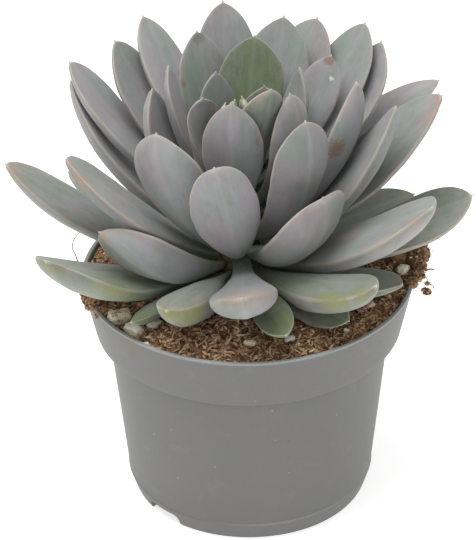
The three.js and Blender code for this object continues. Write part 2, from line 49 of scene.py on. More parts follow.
# name, azimuth, height on the stem, first and last elevation, length, width, thickness, roll, twist,
# sideways bend, base width share, widest place, tip shape p and q, curl exponent, base thickness share, cupping
LEAVES = [
    ("outer_leaf_01", 308.18, 3.78, 3.89, 6.96, 52.44, 15.41, 4.97, -33.15, -10.79, 0.5, 0.21, 0.67, 2.32, 0.78, 1, 0.49, 0.1),
    ("outer_leaf_02", 225.26, 2.68, 3.41, 10.77, 52.77, 6.6, 7.2, -6.09, 1.84, 15, 0.2, 0.68, 2.28, 0.79, 1.05, 0.53, 0.1),
    ("outer_leaf_03", 285.85, 3.89, 2.97, 14.47, 55.42, 13.05, 5.83, -21.21, 0.84, -3.2, 0.19, 0.66, 2.33, 0.76, 1.03, 0.42, 0.1),
    ("outer_leaf_04", 330.55, 3.84, 4.58, 23.19, 63.52, 16.54, 7.31, 3.97, -11.83, -15.3, 0.19, 0.7, 2.2, 0.84, 0.95, 0.32, 0.1),
    ("outer_leaf_05", 183.28, 3.85, 14.88, 47.96, 90.92, 21.45, 8.47, 6.45, 8.05, 20.63, 0.16, 0.69, 2.32, 0.79, 0.65, 0.57, 0.1),
    ("outer_leaf_06", 21.6, 4.53, 7.84, 9.95, 61.74, 20.62, 7.97, -4.02, -7.88, 4.53, 0.18, 0.67, 2.39, 0.8, 1, 0.54, 0.1),
    ("outer_leaf_07", 245.48, 3.72, 12.49, 22.38, 56.09, 17.35, 12.69, -29.17, 25.77, 1.97, 0.18, 0.62, 2.62, 0.58, 1.11, 0.45, 0.1),
    ("outer_leaf_08", 208.68, 4.45, -2.26, 44.82, 87.13, 28.09, 9.41, 2.28, -4.85, 26.13, 0.16, 0.73, 2.47, 0.76, 0.78, 0.3, 0.1),
    ("outer_leaf_09", 55.09, 4.84, 1.98, 14, 60, 20.95, 6.5, 0.47, 0, -0, 0.29, 0.62, 2.2, 0.8, 1, 0.55, 0.1),
    ("outer_leaf_10", 103.02, 4.91, 1, 14, 60, 21, 6.5, -0, -0, -0, 0.3, 0.62, 2.2, 0.8, 1, 0.55, 0.1),
    ("outer_leaf_11", -5.33, 5, 8.01, 33.77, 79.82, 23.41, 8.49, -6.15, -13.65, 4.87, 0.18, 0.71, 2.62, 0.68, 1.01, 0.49, 0.1),
    ("outer_leaf_12", 300.07, 6.14, 11.64, 31.71, 75.65, 17.37, 12.53, 6.63, -20.13, 13.98, 0.16, 0.7, 2.52, 0.59, 1.08, 0.31, 0.1),
    ("outer_leaf_13", 226, 6.99, 16.39, 41.27, 59.69, 16.51, 11.62, -27.51, -52.61, -26.87, 0.2, 0.65, 2.18, 0.66, 0.68, 0.45, 0.1),
    ("outer_leaf_14", 329.74, 7.83, 10.04, 43.71, 86.03, 30.9, 10.23, -6.79, -2.4, -10.79, 0.16, 0.7, 2.48, 0.68, 0.5, 0.3, 0.1),
    ("outer_leaf_15", 161.53, 8.02, 13.56, 24.59, 60.7, 20.57, 7.91, -18.72, -0.22, -5.59, 0.25, 0.64, 2.25, 0.77, 1.01, 0.5, 0.1),
    ("outer_leaf_16", 273.84, 8.68, 12.5, 41.87, 64.64, 23.48, 11.72, -8.17, -2.31, -7.9, 0.28, 0.74, 2.91, 0.43, 2.31, 0.36, 0.1),
    ("outer_leaf_17", 77.89, 8.55, 6.09, 26, 64, 23, 7, 0, 0, 0, 0.3, 0.62, 2.2, 0.8, 1, 0.55, 0.1),
    ("outer_leaf_18", 10.7, 9.07, 27.84, 52.4, 88.21, 25.85, 7.64, -25.61, 7.14, -22.78, 0.21, 0.61, 2.21, 0.76, 0.5, 0.45, 0.1),
    ("outer_leaf_19", 125.87, 9.21, 6.92, 26, 66, 22.98, 7, -0.17, 0, 0, 0.3, 0.62, 2.2, 0.8, 1, 0.55, 0.1),
    ("middle_leaf_01", 203.75, 10.7, 26.97, 51.77, 77.4, 25.77, 7.79, 5.87, 6.38, 3.02, 0.26, 0.64, 2.25, 0.78, 0.54, 0.46, 0.1),
    ("middle_leaf_02", 347.65, 11.75, 21.61, 69.18, 79.11, 23.2, 7.68, -12.41, 6.13, 1.65, 0.23, 0.61, 2.2, 0.81, 0.53, 0.49, 0.1),
    ("middle_leaf_03", 266.44, 12.29, 34.94, 70.11, 65.76, 23.69, 8.4, -12.32, -26.06, -21.66, 0.2, 0.56, 2.76, 0.45, 0.5, 0.3, 0.1),
    ("middle_leaf_04", 307.95, 12.91, 11.52, 68.68, 56.49, 29.17, 9.4, 10.71, -15.41, 1.44, 0.24, 0.67, 2.99, 0.36, 0.66, 0.54, 0.1),
    ("middle_leaf_05", 162.29, 12.81, 20.5, 63.38, 78, 24.27, 7.29, -16.9, -4.69, -7.51, 0.3, 0.62, 2.28, 0.75, 0.8, 0.54, 0.1),
    ("middle_leaf_06", 49.26, 13.5, 17.86, 37.85, 70, 23, 7, 0.35, -0.04, 0.02, 0.3, 0.62, 2.2, 0.8, 1, 0.55, 0.1),
    ("middle_leaf_07", 223.89, 15.64, 47.96, 78.43, 63.63, 27.35, 7.92, -29.39, 6.49, -5.8, 0.3, 0.65, 2.43, 0.8, 0.99, 0.55, 0.1),
    ("middle_leaf_08", 81.61, 16.72, 19.47, 40, 66, 22.97, 6.97, 2.16, -0, -0, 0.29, 0.62, 2.2, 0.8, 1, 0.54, 0.1),
    ("middle_leaf_09", 38.91, 18.08, 26.16, 27.21, 83.63, 18.81, 6.77, -8.65, 1.28, -24.69, 0.27, 0.65, 2.24, 0.78, 0.99, 0.55, 0.1),
    ("middle_leaf_10", 111.63, 20.13, 21.21, 42, 66, 22.99, 6.98, 0.93, 0, 0, 0.3, 0.62, 2.2, 0.8, 1, 0.54, 0.1),
    ("middle_leaf_11", 158.81, 18.4, 36.69, 52.77, 78.26, 24.41, 7.33, -18.19, 10.5, 1.88, 0.31, 0.67, 2.48, 0.75, 0.85, 0.57, 0.1),
    ("middle_leaf_12", -5.73, 20.52, 34.62, 84.95, 69.48, 20.89, 7.29, 23.22, 4.06, -0.3, 0.29, 0.61, 2.2, 0.76, 0.93, 0.55, 0.1),
    ("middle_leaf_13", 314.65, 19.94, 35.51, 86.93, 64.67, 22.28, 8.55, 12.58, -13.68, -14.43, 0.29, 0.71, 2.48, 0.76, 0.75, 0.53, 0.1),
    ("middle_leaf_14", 21.59, 22.46, 25.83, 63.15, 76.72, 23.91, 6.67, 21.15, -5.16, 28.71, 0.24, 0.72, 2.22, 0.88, 1.05, 0.46, 0.1),
    ("middle_leaf_15", 140.74, 23.76, 35.18, 65.03, 71.32, 24.93, 6.91, -15.54, 9.25, 9.59, 0.26, 0.68, 2.55, 0.78, 1.08, 0.48, 0.1),
    ("inner_leaf_01", 35.51, 25.83, 33.26, 57.54, 75.82, 26.67, 6.79, 20.22, -14.65, 11.28, 0.3, 0.66, 2.3, 0.79, 0.98, 0.45, 0.1),
    ("inner_leaf_02", 263.17, 26.24, 73.58, 83.81, 54.55, 21.55, 7.39, -4.29, 2.94, 0.4, 0.3, 0.62, 2.2, 0.82, 0.99, 0.55, 0.1),
    ("inner_leaf_03", 127.39, 27.69, 42.83, 52.53, 71.48, 23.65, 7.28, -29.81, 12.02, 0.46, 0.23, 0.65, 2.37, 0.78, 1.03, 0.44, 0.1),
    ("inner_leaf_04", 172.91, 27.97, 38.05, 90.41, 52.06, 20.83, 7.15, 16.6, -2.71, -1.48, 0.27, 0.55, 2.02, 0.81, 1.08, 0.49, 0.1),
    ("inner_leaf_05", 95.5, 27.83, 38.89, 63.89, 70.58, 24.92, 6.93, -31.16, 11.67, 0.5, 0.2, 0.66, 2.38, 0.78, 1.06, 0.36, 0.1),
    ("inner_leaf_06", 60.14, 28.85, 36.95, 53.95, 68.43, 23.98, 6.75, 2.92, -3.06, -5, 0.23, 0.69, 2.43, 0.76, 0.97, 0.5, 0.1),
    ("inner_leaf_07", 207.04, 29.86, 53.65, 98.8, 45.62, 15.22, 4.04, -32.03, 64.59, -56.56, 0.28, 0.79, 2.61, 0.75, 0.59, 0.56, 0.1),
    ("inner_leaf_08", 28.18, 31.24, 37.96, 65.54, 55.89, 16.07, 6.51, -17.7, -12.85, 14.5, 0.25, 0.71, 2.42, 0.81, 0.86, 0.41, 0.1),
    ("inner_leaf_09", 336.6, 31.79, 50.67, 97.4, 48.45, 18.86, 6.46, 7.4, 5.26, -7.72, 0.3, 0.64, 2.27, 0.78, 0.98, 0.55, 0.1),
    ("inner_leaf_10", 120.47, 33.03, 54.61, 77.81, 55.92, 19.24, 7.32, -1.91, 0.78, -4.06, 0.28, 0.65, 2.29, 0.79, 0.98, 0.5, 0.1),
    ("inner_leaf_11", 169.48, 32.2, 45.77, 83.75, 52.34, 13.04, 5.11, -23.32, 15.43, -14.6, 0.22, 0.69, 2.18, 0.8, 0.62, 0.54, 0.1),
    ("inner_leaf_12", 65.11, 33.75, 41.38, 68.72, 61.08, 23.07, 5.9, -3.35, -16.8, 2.05, 0.21, 0.69, 2.14, 0.83, 1.06, 0.45, 0.1),
    ("inner_leaf_13", 20.01, 35.35, 45.93, 92.74, 47.74, 14.65, 5.75, -17.2, 6.7, -2.88, 0.29, 0.61, 1.92, 0.86, 1.05, 0.51, 0.1),
    ("inner_leaf_14", 311.68, 37.61, 87.48, 59.42, 46.79, 17.36, 6.25, 2.33, 11.48, -5.16, 0.3, 0.65, 2.26, 0.85, 1.21, 0.54, 0.1),
    ("inner_leaf_15", 132.53, 38.44, 68.8, 95.08, 39.01, 14.09, 5.99, 8.13, 5.61, -3.62, 0.3, 0.62, 2.14, 0.83, 0.96, 0.55, 0.1),
    ("inner_leaf_16", 76.28, 38.39, 55.93, 81.37, 48.74, 23.44, 6.91, -13.67, 2.88, -5.1, 0.26, 0.64, 2.3, 0.79, 1.05, 0.47, 0.2),
    ("inner_leaf_17", 31.24, 39.57, 64.5, 94.9, 33.56, 17.87, 5.07, -22.83, -14.28, 14.96, 0.27, 0.62, 2.04, 0.87, 0.97, 0.49, 0.1),
    ("heart_leaf_01", 190.69, 40.7, 80.77, 103.27, 28.88, 8.22, 4.02, 2.65, 0.56, -2.46, 0.5, 0.61, 2.18, 0.81, 1.01, 0.61, 0.1),
    ("heart_leaf_02", 255.21, 45.45, 80.91, 86.79, 28.08, 7.55, 3.92, -17.47, -2.19, 0.58, 0.5, 0.62, 2.2, 0.8, 1.02, 0.6, 0.1),
    ("heart_leaf_03", 40.67, 45.66, 87.61, 102.24, 25.26, 7.96, 3.91, 12.81, 2.17, -3.02, 0.5, 0.62, 2.2, 0.8, 0.95, 0.58, 0.1),
    ("heart_leaf_04", 134.04, 46.23, 91.75, 101.11, 23.64, 6.56, 3.93, -13.26, -2.21, 2.95, 0.5, 0.62, 2.19, 0.8, 0.95, 0.59, 0.1),
]


def srgb(r, g, b, a=1.0):
    """A display colour, 0 to 255, as a linear one."""
    def one(c):
        c /= 255.0
        return c / 12.92 if c <= 0.04045 else ((c + 0.055) / 1.055) ** 2.4
    return (one(r), one(g), one(b), a)


# ---------------------------------------------------------------- node helpers
def new_material(name):
    m = bpy.data.materials.new(name)
    m.use_nodes = True
    nt = m.node_tree
    nt.nodes.clear()
    out = nt.nodes.new("ShaderNodeOutputMaterial")
    bsdf = nt.nodes.new("ShaderNodeBsdfPrincipled")
    nt.links.new(bsdf.outputs[0], out.inputs[0])
    return m, nt, bsdf


def put(nt, socket, value):
    if isinstance(value, bpy.types.NodeSocket):
        nt.links.new(value, socket)
    else:
        socket.default_value = value


def calc(nt, op, a, b=0.0, c=None, clamp=False):
    n = nt.nodes.new("ShaderNodeMath")
    n.operation = op
    n.use_clamp = clamp
    put(nt, n.inputs[0], a)
    put(nt, n.inputs[1], b)
    if c is not None:
        put(nt, n.inputs[2], c)
    return n.outputs[0]


def mix(nt, fac, a, b, blend="MIX"):
    n = nt.nodes.new("ShaderNodeMix")
    n.data_type = "RGBA"
    n.blend_type = blend
    n.clamp_factor = True
    put(nt, n.inputs[0], fac)
    put(nt, n.inputs[6], a)
    put(nt, n.inputs[7], b)
    return n.outputs[2]


def ramp(nt, fac, stops, mode="LINEAR"):
    n = nt.nodes.new("ShaderNodeValToRGB")
    n.color_ramp.interpolation = mode
    el = n.color_ramp.elements
    while len(el) < len(stops):
        el.new(0.5)
    for e, (p, col) in zip(el, stops):
        e.position = p
        e.color = col
    put(nt, n.inputs[0], fac)
    return n.outputs[0]


def step(nt, x, lo, hi, out_lo=0.0, out_hi=1.0):
    n = nt.nodes.new("ShaderNodeMapRange")
    n.interpolation_type = "SMOOTHSTEP"
    put(nt, n.inputs[0], x)
    n.inputs[1].default_value = lo
    n.inputs[2].default_value = hi
    n.inputs[3].default_value = out_lo
    n.inputs[4].default_value = out_hi
    return n.outputs[0]


def scaled(nt, vec, by):
    n = nt.nodes.new("ShaderNodeVectorMath")
    n.operation = "MULTIPLY"
    put(nt, n.inputs[0], vec)
    n.inputs[1].default_value = by
    return n.outputs[0]


def noisy(nt, vec, scale, detail=3.0, rough=0.5, distortion=0.0):
    n = nt.nodes.new("ShaderNodeTexNoise")
    put(nt, n.inputs["Vector"], vec)
    n.inputs["Scale"].default_value = scale
    n.inputs["Detail"].default_value = detail
    n.inputs["Roughness"].default_value = rough
    n.inputs["Distortion"].default_value = distortion
    return n.outputs[0]


def cells(nt, vec, scale, feature="F1"):
    n = nt.nodes.new("ShaderNodeTexVoronoi")
    n.feature = feature
    put(nt, n.inputs["Vector"], vec)
    n.inputs["Scale"].default_value = scale
    return n


def attr(nt, name):
    n = nt.nodes.new("ShaderNodeAttribute")
    n.attribute_type = "GEOMETRY"
    n.attribute_name = name
    return n


def split(nt, vec):
    n = nt.nodes.new("ShaderNodeSeparateXYZ")
    put(nt, n.inputs[0], vec)
    return n.outputs[0], n.outputs[1], n.outputs[2]


def bump(nt, bsdf, *layers):
    """layers are (height socket, strength, distance in metres)."""
    last = None
    for height, strength, distance in layers:
        n = nt.nodes.new("ShaderNodeBump")
        n.inputs["Strength"].default_value = strength
        n.inputs["Distance"].default_value = distance
        put(nt, n.inputs["Height"], height)
        if last is not None:
            nt.links.new(last, n.inputs["Normal"])
        last = n.outputs[0]
    nt.links.new(last, bsdf.inputs["Normal"])


def places(nt):
    """Object coordinates in millimetres."""
    n = nt.nodes.new("ShaderNodeTexCoord")
    return scaled(nt, n.outputs["Object"], (1000.0, 1000.0, 1000.0))


# ---------------------------------------------------------------- mesh helpers
def make_object(name, verts, faces, materials, smooth=True, attributes=None, index=None):
    """verts in millimetres. attributes is {name: (n,) or (n, 3) array on the points}."""
    me = bpy.data.meshes.new(name)
    me.from_pydata((np.asarray(verts, float) * MM).tolist(), [], faces if isinstance(faces, list) else faces.tolist())
    for m in materials:
        me.materials.append(m)
    me.polygons.foreach_set("use_smooth", [smooth] * len(me.polygons))
    if index is not None:
        me.polygons.foreach_set("material_index", index)
    for key, values in (attributes or {}).items():
        values = np.asarray(values, np.float32)
        if values.ndim == 1:
            a = me.attributes.new(key, "FLOAT", "POINT")
            a.data.foreach_set("value", values)
        else:
            a = me.attributes.new(key, "FLOAT_VECTOR", "POINT")
            a.data.foreach_set("vector", values.ravel())
    me.validate()
    me.update()
    ob = bpy.data.objects.new(name, me)
    bpy.context.scene.collection.objects.link(ob)
    return ob


def tube_faces(rings, sides, start, end):
    """Faces of a closed skin over rings*sides points, with one point at each end."""
    out = []
    for k in range(rings - 1):
        for i in range(sides):
            j = (i + 1) % sides
            a, b = k * sides + i, k * sides + j
            out.append((a, b, b + sides, a + sides))
    top = (rings - 1) * sides
    for i in range(sides):
        j = (i + 1) % sides
        out.append((start, j, i))
        out.append((end, top + i, top + j))
    return out


def face_out(ob):
    """Turns the faces outward by the sign of the enclosed volume."""
    me = ob.data
    co = np.zeros(len(me.vertices) * 3)
    me.vertices.foreach_get("co", co)
    co = co.reshape(-1, 3)
    me.calc_loop_triangles()
    t = np.zeros(len(me.loop_triangles) * 3, int)
    me.loop_triangles.foreach_get("vertices", t)
    a, b, c = (co[t.reshape(-1, 3)[:, k]] for k in range(3))
    if np.einsum("ij,ij->i", a, np.cross(b, c)).sum() < 0:
        me.flip_normals()
    return ob


def fbm(p, scale, octaves=3, rough=0.5):
    """Smooth noise, about -1 to 1, at each row of p (mm)."""
    out = np.empty(len(p))
    for i, v in enumerate(p):
        out[i] = noise.fractal((v[0] * scale, v[1] * scale, v[2] * scale), 1.0 / rough - 1.0 + 0.0001, 2.0, octaves)
    return out


def wear(ob, slot, *nodes):
    """The piece rides with the plant's one body and stands for these CAD nodes. The slot is not used."""
    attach(ob, "root")
    if nodes:
        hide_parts(*nodes)
    return ob


def interp(x, table):
    return float(np.interp(x, [a for a, _ in table], [b for _, b in table]))


# ---------------------------------------------------------------- materials
def leaf_material(name, heart=False):
    """Thick grey leaf skin under a waxy bloom, read in the leaf's own coordinates."""
    m, nt, b = new_material(name)
    uv = attr(nt, "leaf_uv").outputs["Vector"]      # mm along, mm across, a number of the leaf's own
    t, x, s = split(nt, attr(nt, "leaf_at").outputs["Vector"])
    green, blush, tone_and_painted_shading = split(nt, attr(nt, "leaf_look").outputs["Vector"])
    brown, yellow, orange = split(nt, attr(nt, "leaf_marks").outputs["Vector"])
    rubbed, white, dark = split(nt, attr(nt, "leaf_marks_2").outputs["Vector"])
    soft = noisy(nt, scaled(nt, uv, (0.055, 0.11, 1.0)), 1.0, 3.0, 0.55)
    mid = noisy(nt, scaled(nt, uv, (0.22, 0.42, 1.0)), 1.0, 4.0, 0.6, 0.4)
    streak = noisy(nt, scaled(nt, uv, (0.045, 0.95, 1.0)), 1.0, 4.0, 0.6)
    hair = noisy(nt, scaled(nt, uv, (0.10, 2.6, 1.0)), 1.0, 3.0, 0.6)
    grain = noisy(nt, scaled(nt, uv, (3.0, 3.0, 1.0)), 1.0, 3.0, 0.65)

    across = calc(nt, "ABSOLUTE", x)
    inner = step(nt, s, -0.15, 0.15)                # 1 on the face towards the stem

    # how much bloom covers the green skin
    base = step(nt, t, 0.02, 0.42, 0.62, 0.0)
    cover = calc(nt, "MULTIPLY_ADD", calc(nt, "SUBTRACT", soft, 0.5), 0.9, 0.86)
    cover = calc(nt, "MULTIPLY_ADD", calc(nt, "SUBTRACT", streak, 0.5), 0.38, cover)
    cover = calc(nt, "MULTIPLY_ADD", calc(nt, "SUBTRACT", mid, 0.5), 0.54, cover)
    cover = calc(nt, "SUBTRACT", cover, base)
    cover = calc(nt, "SUBTRACT", cover, green)
    cover = calc(nt, "SUBTRACT", cover, calc(nt, "MULTIPLY", rubbed, 0.9), clamp=True)
    bare = mix(nt, mid, srgb(84, 102, 76), srgb(124, 138, 102))
    hue = noisy(nt, scaled(nt, uv, (0.05, 0.09, 1.7)), 1.0, 2.0, 0.5, 0.3)
    bloom = ramp(nt, hue, [(0.30, srgb(138, 149, 146)), (0.48, srgb(148, 148, 154)), (0.66, srgb(158, 145, 154))])
    bloom = mix(nt, step(nt, soft, 0.35, 0.7, 0.0, 0.35), bloom, srgb(162, 161, 160))
    col = mix(nt, cover, bare, bloom)
    # thin places of the bloom: fine lines along the leaf
    col = mix(nt, step(nt, hair, 0.60, 0.78, 0.0, 0.32), col, srgb(137, 142, 134))
    # small worn spots
    spots = calc(nt, "MULTIPLY", step(nt, noisy(nt, scaled(nt, uv, (0.8, 1.3, 1.0)), 1.0, 3.0, 0.7, 0.6), 0.64, 0.72), 0.36)
    col = mix(nt, spots, col, srgb(126, 132, 118))
    # the tone of the whole leaf, lighter or darker; on a few leaves it is painted light and shade
    col = mix(nt, 1.0, col, mixed_grey(nt, tone_and_painted_shading), "MULTIPLY")
    # paler midrib, stronger on the outer face
    rib = calc(nt, "MULTIPLY_ADD", step(nt, across, 0.0, 0.22, 0.75, 0.0), 1.0, step(nt, across, 0.0, 0.07, 0.35, 0.0))
    rib = calc(nt, "MULTIPLY", rib, calc(nt, "MULTIPLY_ADD", inner, -0.12, 0.24))
    rib = calc(nt, "MULTIPLY", rib, step(nt, t, 0.15, 0.5))
    col = mix(nt, rib, col, srgb(176, 174, 172))
    # thin cream margin, with a warm line just inside it
    rim = calc(nt, "ABSOLUTE", calc(nt, "MULTIPLY_ADD", calc(nt, "SUBTRACT", mid, 0.5), 0.12, s))
    warm_line = calc(nt, "MULTIPLY", step(nt, rim, 0.22, 0.55, 1.0, 0.0), step(nt, t, 0.30, 0.80, 0.1, 0.62))
    warm_line = calc(nt, "MULTIPLY", warm_line, step(nt, noisy(nt, scaled(nt, uv, (0.16, 0.1, 1.0)), 1.0, 2.0, 0.5), 0.36, 0.62))
    plump = step(nt, blush, 0.90, 1.0, 1.0, 0.18)   # round margins carry no line
    warm_line = calc(nt, "MULTIPLY", warm_line, plump)
    col = mix(nt, calc(nt, "MULTIPLY", warm_line, blush, clamp=True), col, srgb(172, 136, 122))
    edge = calc(nt, "MULTIPLY", step(nt, rim, 0.08, 0.24, 1.0, 0.0), step(nt, t, 0.12, 0.6, 0.12, 0.50))
    edge = calc(nt, "MULTIPLY", edge, plump)
    col = mix(nt, edge, col, srgb(188, 182, 168))
    # blush that spreads over the end of the leaf
    near_tip = calc(nt, "MULTIPLY", step(nt, t, 0.88, 0.99), calc(nt, "MULTIPLY_ADD", mid, 0.9, 0.0))
    col = mix(nt, calc(nt, "MULTIPLY", near_tip, calc(nt, "MULTIPLY", blush, 0.7), clamp=True), col, srgb(172, 146, 130))
    # own marks of single leaves
    rough = calc(nt, "MULTIPLY_ADD", calc(nt, "SUBTRACT", noisy(nt, scaled(nt, uv, (0.9, 1.6, 1.0)), 1.0, 4.0, 0.65, 0.5), 0.5), 1.3, 0.0)

    def torn(mask, lo=0.30, hi=0.78):
        return step(nt, calc(nt, "ADD", mask, calc(nt, "MULTIPLY", rough, step(nt, mask, 0.02, 0.3))), lo, hi)

    col = mix(nt, calc(nt, "MULTIPLY", torn(yellow, 0.26, 0.95), 0.72), col, srgb(124, 128, 62))
    col = mix(nt, calc(nt, "MULTIPLY", torn(orange, 0.22, 1.05), 0.55), col, srgb(174, 138, 112))
    col = mix(nt, calc(nt, "MULTIPLY", torn(dark, 0.25, 0.8), 0.55), col, srgb(92, 98, 88))
    col = mix(nt, calc(nt, "MULTIPLY", torn(brown), 0.66), col, srgb(124, 90, 72))
    col = mix(nt, calc(nt, "MULTIPLY", torn(white), 0.85), col, srgb(226, 222, 212))
    # the point at the very end
    point = step(nt, calc(nt, "ADD", t, calc(nt, "MULTIPLY", rough, 0.008)), 0.980, 1.0, 0.0, 0.72)
    col = mix(nt, point, col, srgb(204, 200, 180) if not heart else srgb(224, 222, 186))
    if heart:
        col = mix(nt, step(nt, t, 0.78, 0.93, 0.0, 0.85), col, srgb(214, 216, 182))
        col = mix(nt, step(nt, t, 0.0, 0.45, 0.5, 0.0), col, srgb(120, 134, 92))
    # fine dust of the bloom
    col = mix(nt, step(nt, grain, 0.35, 0.75, 0.0, 0.12), col, srgb(182, 182, 180))
    nt.links.new(col, b.inputs["Base Color"])
    r = calc(nt, "MULTIPLY_ADD", cover, 0.18, 0.46)
    r = calc(nt, "MULTIPLY_ADD", calc(nt, "SUBTRACT", grain, 0.5), 0.12, r)
    nt.links.new(r, b.inputs["Roughness"])
    b.inputs["Specular IOR Level"].default_value = 0.32
    b.inputs["Sheen Weight"].default_value = 0.16
    b.inputs["Sheen Roughness"].default_value = 0.55
    b.inputs["Subsurface Weight"].default_value = 0.06
    b.inputs["Subsurface Radius"].default_value = (0.0030, 0.0036, 0.0018)
    b.inputs["Subsurface Scale"].default_value = 1.0
    bump(nt, b, (grain, 0.10, 0.00012), (hair, 0.16, 0.00022), (mid, 0.20, 0.0005))
    return m


def mixed_grey(nt, value):
    n = nt.nodes.new("ShaderNodeCombineXYZ")
    for k in range(3):
        put(nt, n.inputs[k], value)
    return n.outputs[0]


def plastic_material():
    """Semi-matte grey moulded plastic with dust, small scratches and a few soil stains near the rim."""
    m, nt, b = new_material("pot_plastic")
    p = places(nt)
    px, py, pz = split(nt, p)
    cloud = noisy(nt, p, 0.03, 3.0, 0.5)
    fine = noisy(nt, p, 1.4, 3.0, 0.6)
    micro = noisy(nt, p, 6.0, 2.0, 0.6)
    col = mix(nt, cloud, srgb(104, 104, 102), srgb(111, 110, 107))
    col = mix(nt, step(nt, fine, 0.35, 0.75, 0.0, 0.25), col, srgb(119, 119, 116))
    # dust: faint pale smudges and small specks
    smudge = calc(nt, "MULTIPLY", step(nt, noisy(nt, p, 0.11, 5.0, 0.65, 0.6), 0.55, 0.72), 0.16)
    col = mix(nt, smudge, col, srgb(140, 138, 130))
    v = cells(nt, p, 0.16)
    speck = step(nt, calc(nt, "ADD", v.outputs["Distance"], calc(nt, "MULTIPLY", micro, 0.05)), 0.055, 0.085, 0.62, 0.0)
    col = mix(nt, speck, col, srgb(176, 174, 166))
    v2 = cells(nt, scaled(nt, p, (1.0, 1.0, 0.8)), 0.075)
    dot = step(nt, v2.outputs["Distance"], 0.022, 0.036, 0.55, 0.0)
    col = mix(nt, dot, col, srgb(74, 66, 58))
    # scuffs round the widest part of the rim and the foot
    around = noisy(nt, scaled(nt, p, (0.10, 0.10, 1.9)), 1.0, 5.0, 0.7, 0.3)
    scuff = calc(nt, "MULTIPLY", step(nt, around, 0.60, 0.70), 0.12)
    col = mix(nt, scuff, col, srgb(162, 161, 156))
    scratch = noisy(nt, scaled(nt, p, (1.5, 1.5, 0.05)), 1.0, 2.0, 0.5, 1.5)
    line = calc(nt, "MULTIPLY", step(nt, calc(nt, "ABSOLUTE", calc(nt, "SUBTRACT", scratch, 0.5)), 0.0, 0.006, 1.0, 0.0),
                step(nt, noisy(nt, p, 0.05, 2.0, 0.5), 0.56, 0.66, 0.0, 0.35))
    col = mix(nt, line, col, srgb(164, 163, 158))
    # painted shade in the corner under the collar, darker towards the collar step
    collar_shade_mask = calc(nt, "MULTIPLY", step(nt, pz, 61.5, 66.2, 0.0, 0.34), step(nt, pz, 66.8, 67.2, 1.0, 0.0))
    col = mix(nt, collar_shade_mask, col, srgb(80, 80, 78))
    # the lip of the rim is lighter: a painted highlight along its top, mixed with worn spots
    lip_highlight_and_wear = step(nt, pz, 86.2, 87.4, 0.0, 0.75)
    col = mix(nt, calc(nt, "MULTIPLY", lip_highlight_and_wear, calc(nt, "MULTIPLY_ADD", fine, 0.9, 0.3), clamp=True), col, srgb(166, 171, 168))
    # painted highlight on the edge over the foot ring, fainter towards -x
    foot_edge_highlight = calc(nt, "MULTIPLY", step(nt, pz, 6.6, 6.9), step(nt, pz, 7.4, 7.7, 1.0, 0.0))
    foot_edge_highlight = calc(nt, "MULTIPLY", foot_edge_highlight, step(nt, px, -22.0, 8.0, 0.1, 1.0))
    col = mix(nt, calc(nt, "MULTIPLY", foot_edge_highlight, calc(nt, "MULTIPLY_ADD", fine, 0.6, 0.15), clamp=True), col, srgb(150, 150, 145))
    # soil dust clings under the rim
    crumb = step(nt, noisy(nt, scaled(nt, p, (1.0, 1.0, 0.55)), 0.55, 6.0, 0.7, 0.8), 0.655, 0.70)
    high = step(nt, pz, 76.0, 87.5, 0.0, 0.5)
    col = mix(nt, calc(nt, "MULTIPLY", crumb, high), col, srgb(98, 78, 62))
    # one brown stain, front left under the rim
    dx = calc(nt, "SUBTRACT", px, -40.5)
    dy = calc(nt, "SUBTRACT", py, -42.0)
    dz = calc(nt, "MULTIPLY", calc(nt, "SUBTRACT", pz, 83.2), 0.55)
    d2 = calc(nt, "ADD", calc(nt, "ADD", calc(nt, "MULTIPLY", dx, dx), calc(nt, "MULTIPLY", dy, dy)), calc(nt, "MULTIPLY", dz, dz))
    stain = calc(nt, "MULTIPLY", step(nt, calc(nt, "ADD", d2, calc(nt, "MULTIPLY", fine, 9.0)), 4.0, 17.0, 1.0, 0.0), 0.58)
    col = mix(nt, stain, col, srgb(118, 98, 80))
    nt.links.new(col, b.inputs["Base Color"])
    r = calc(nt, "MULTIPLY_ADD", fine, 0.12, 0.44)
    r = calc(nt, "ADD", r, calc(nt, "MULTIPLY", speck, 0.15))
    nt.links.new(r, b.inputs["Roughness"])
    b.inputs["Specular IOR Level"].default_value = 0.42
    b.inputs["IOR"].default_value = 1.49
    bump(nt, b, (micro, 0.10, 0.00008), (fine, 0.10, 0.00018), (around, 0.05, 0.0002))
    return m


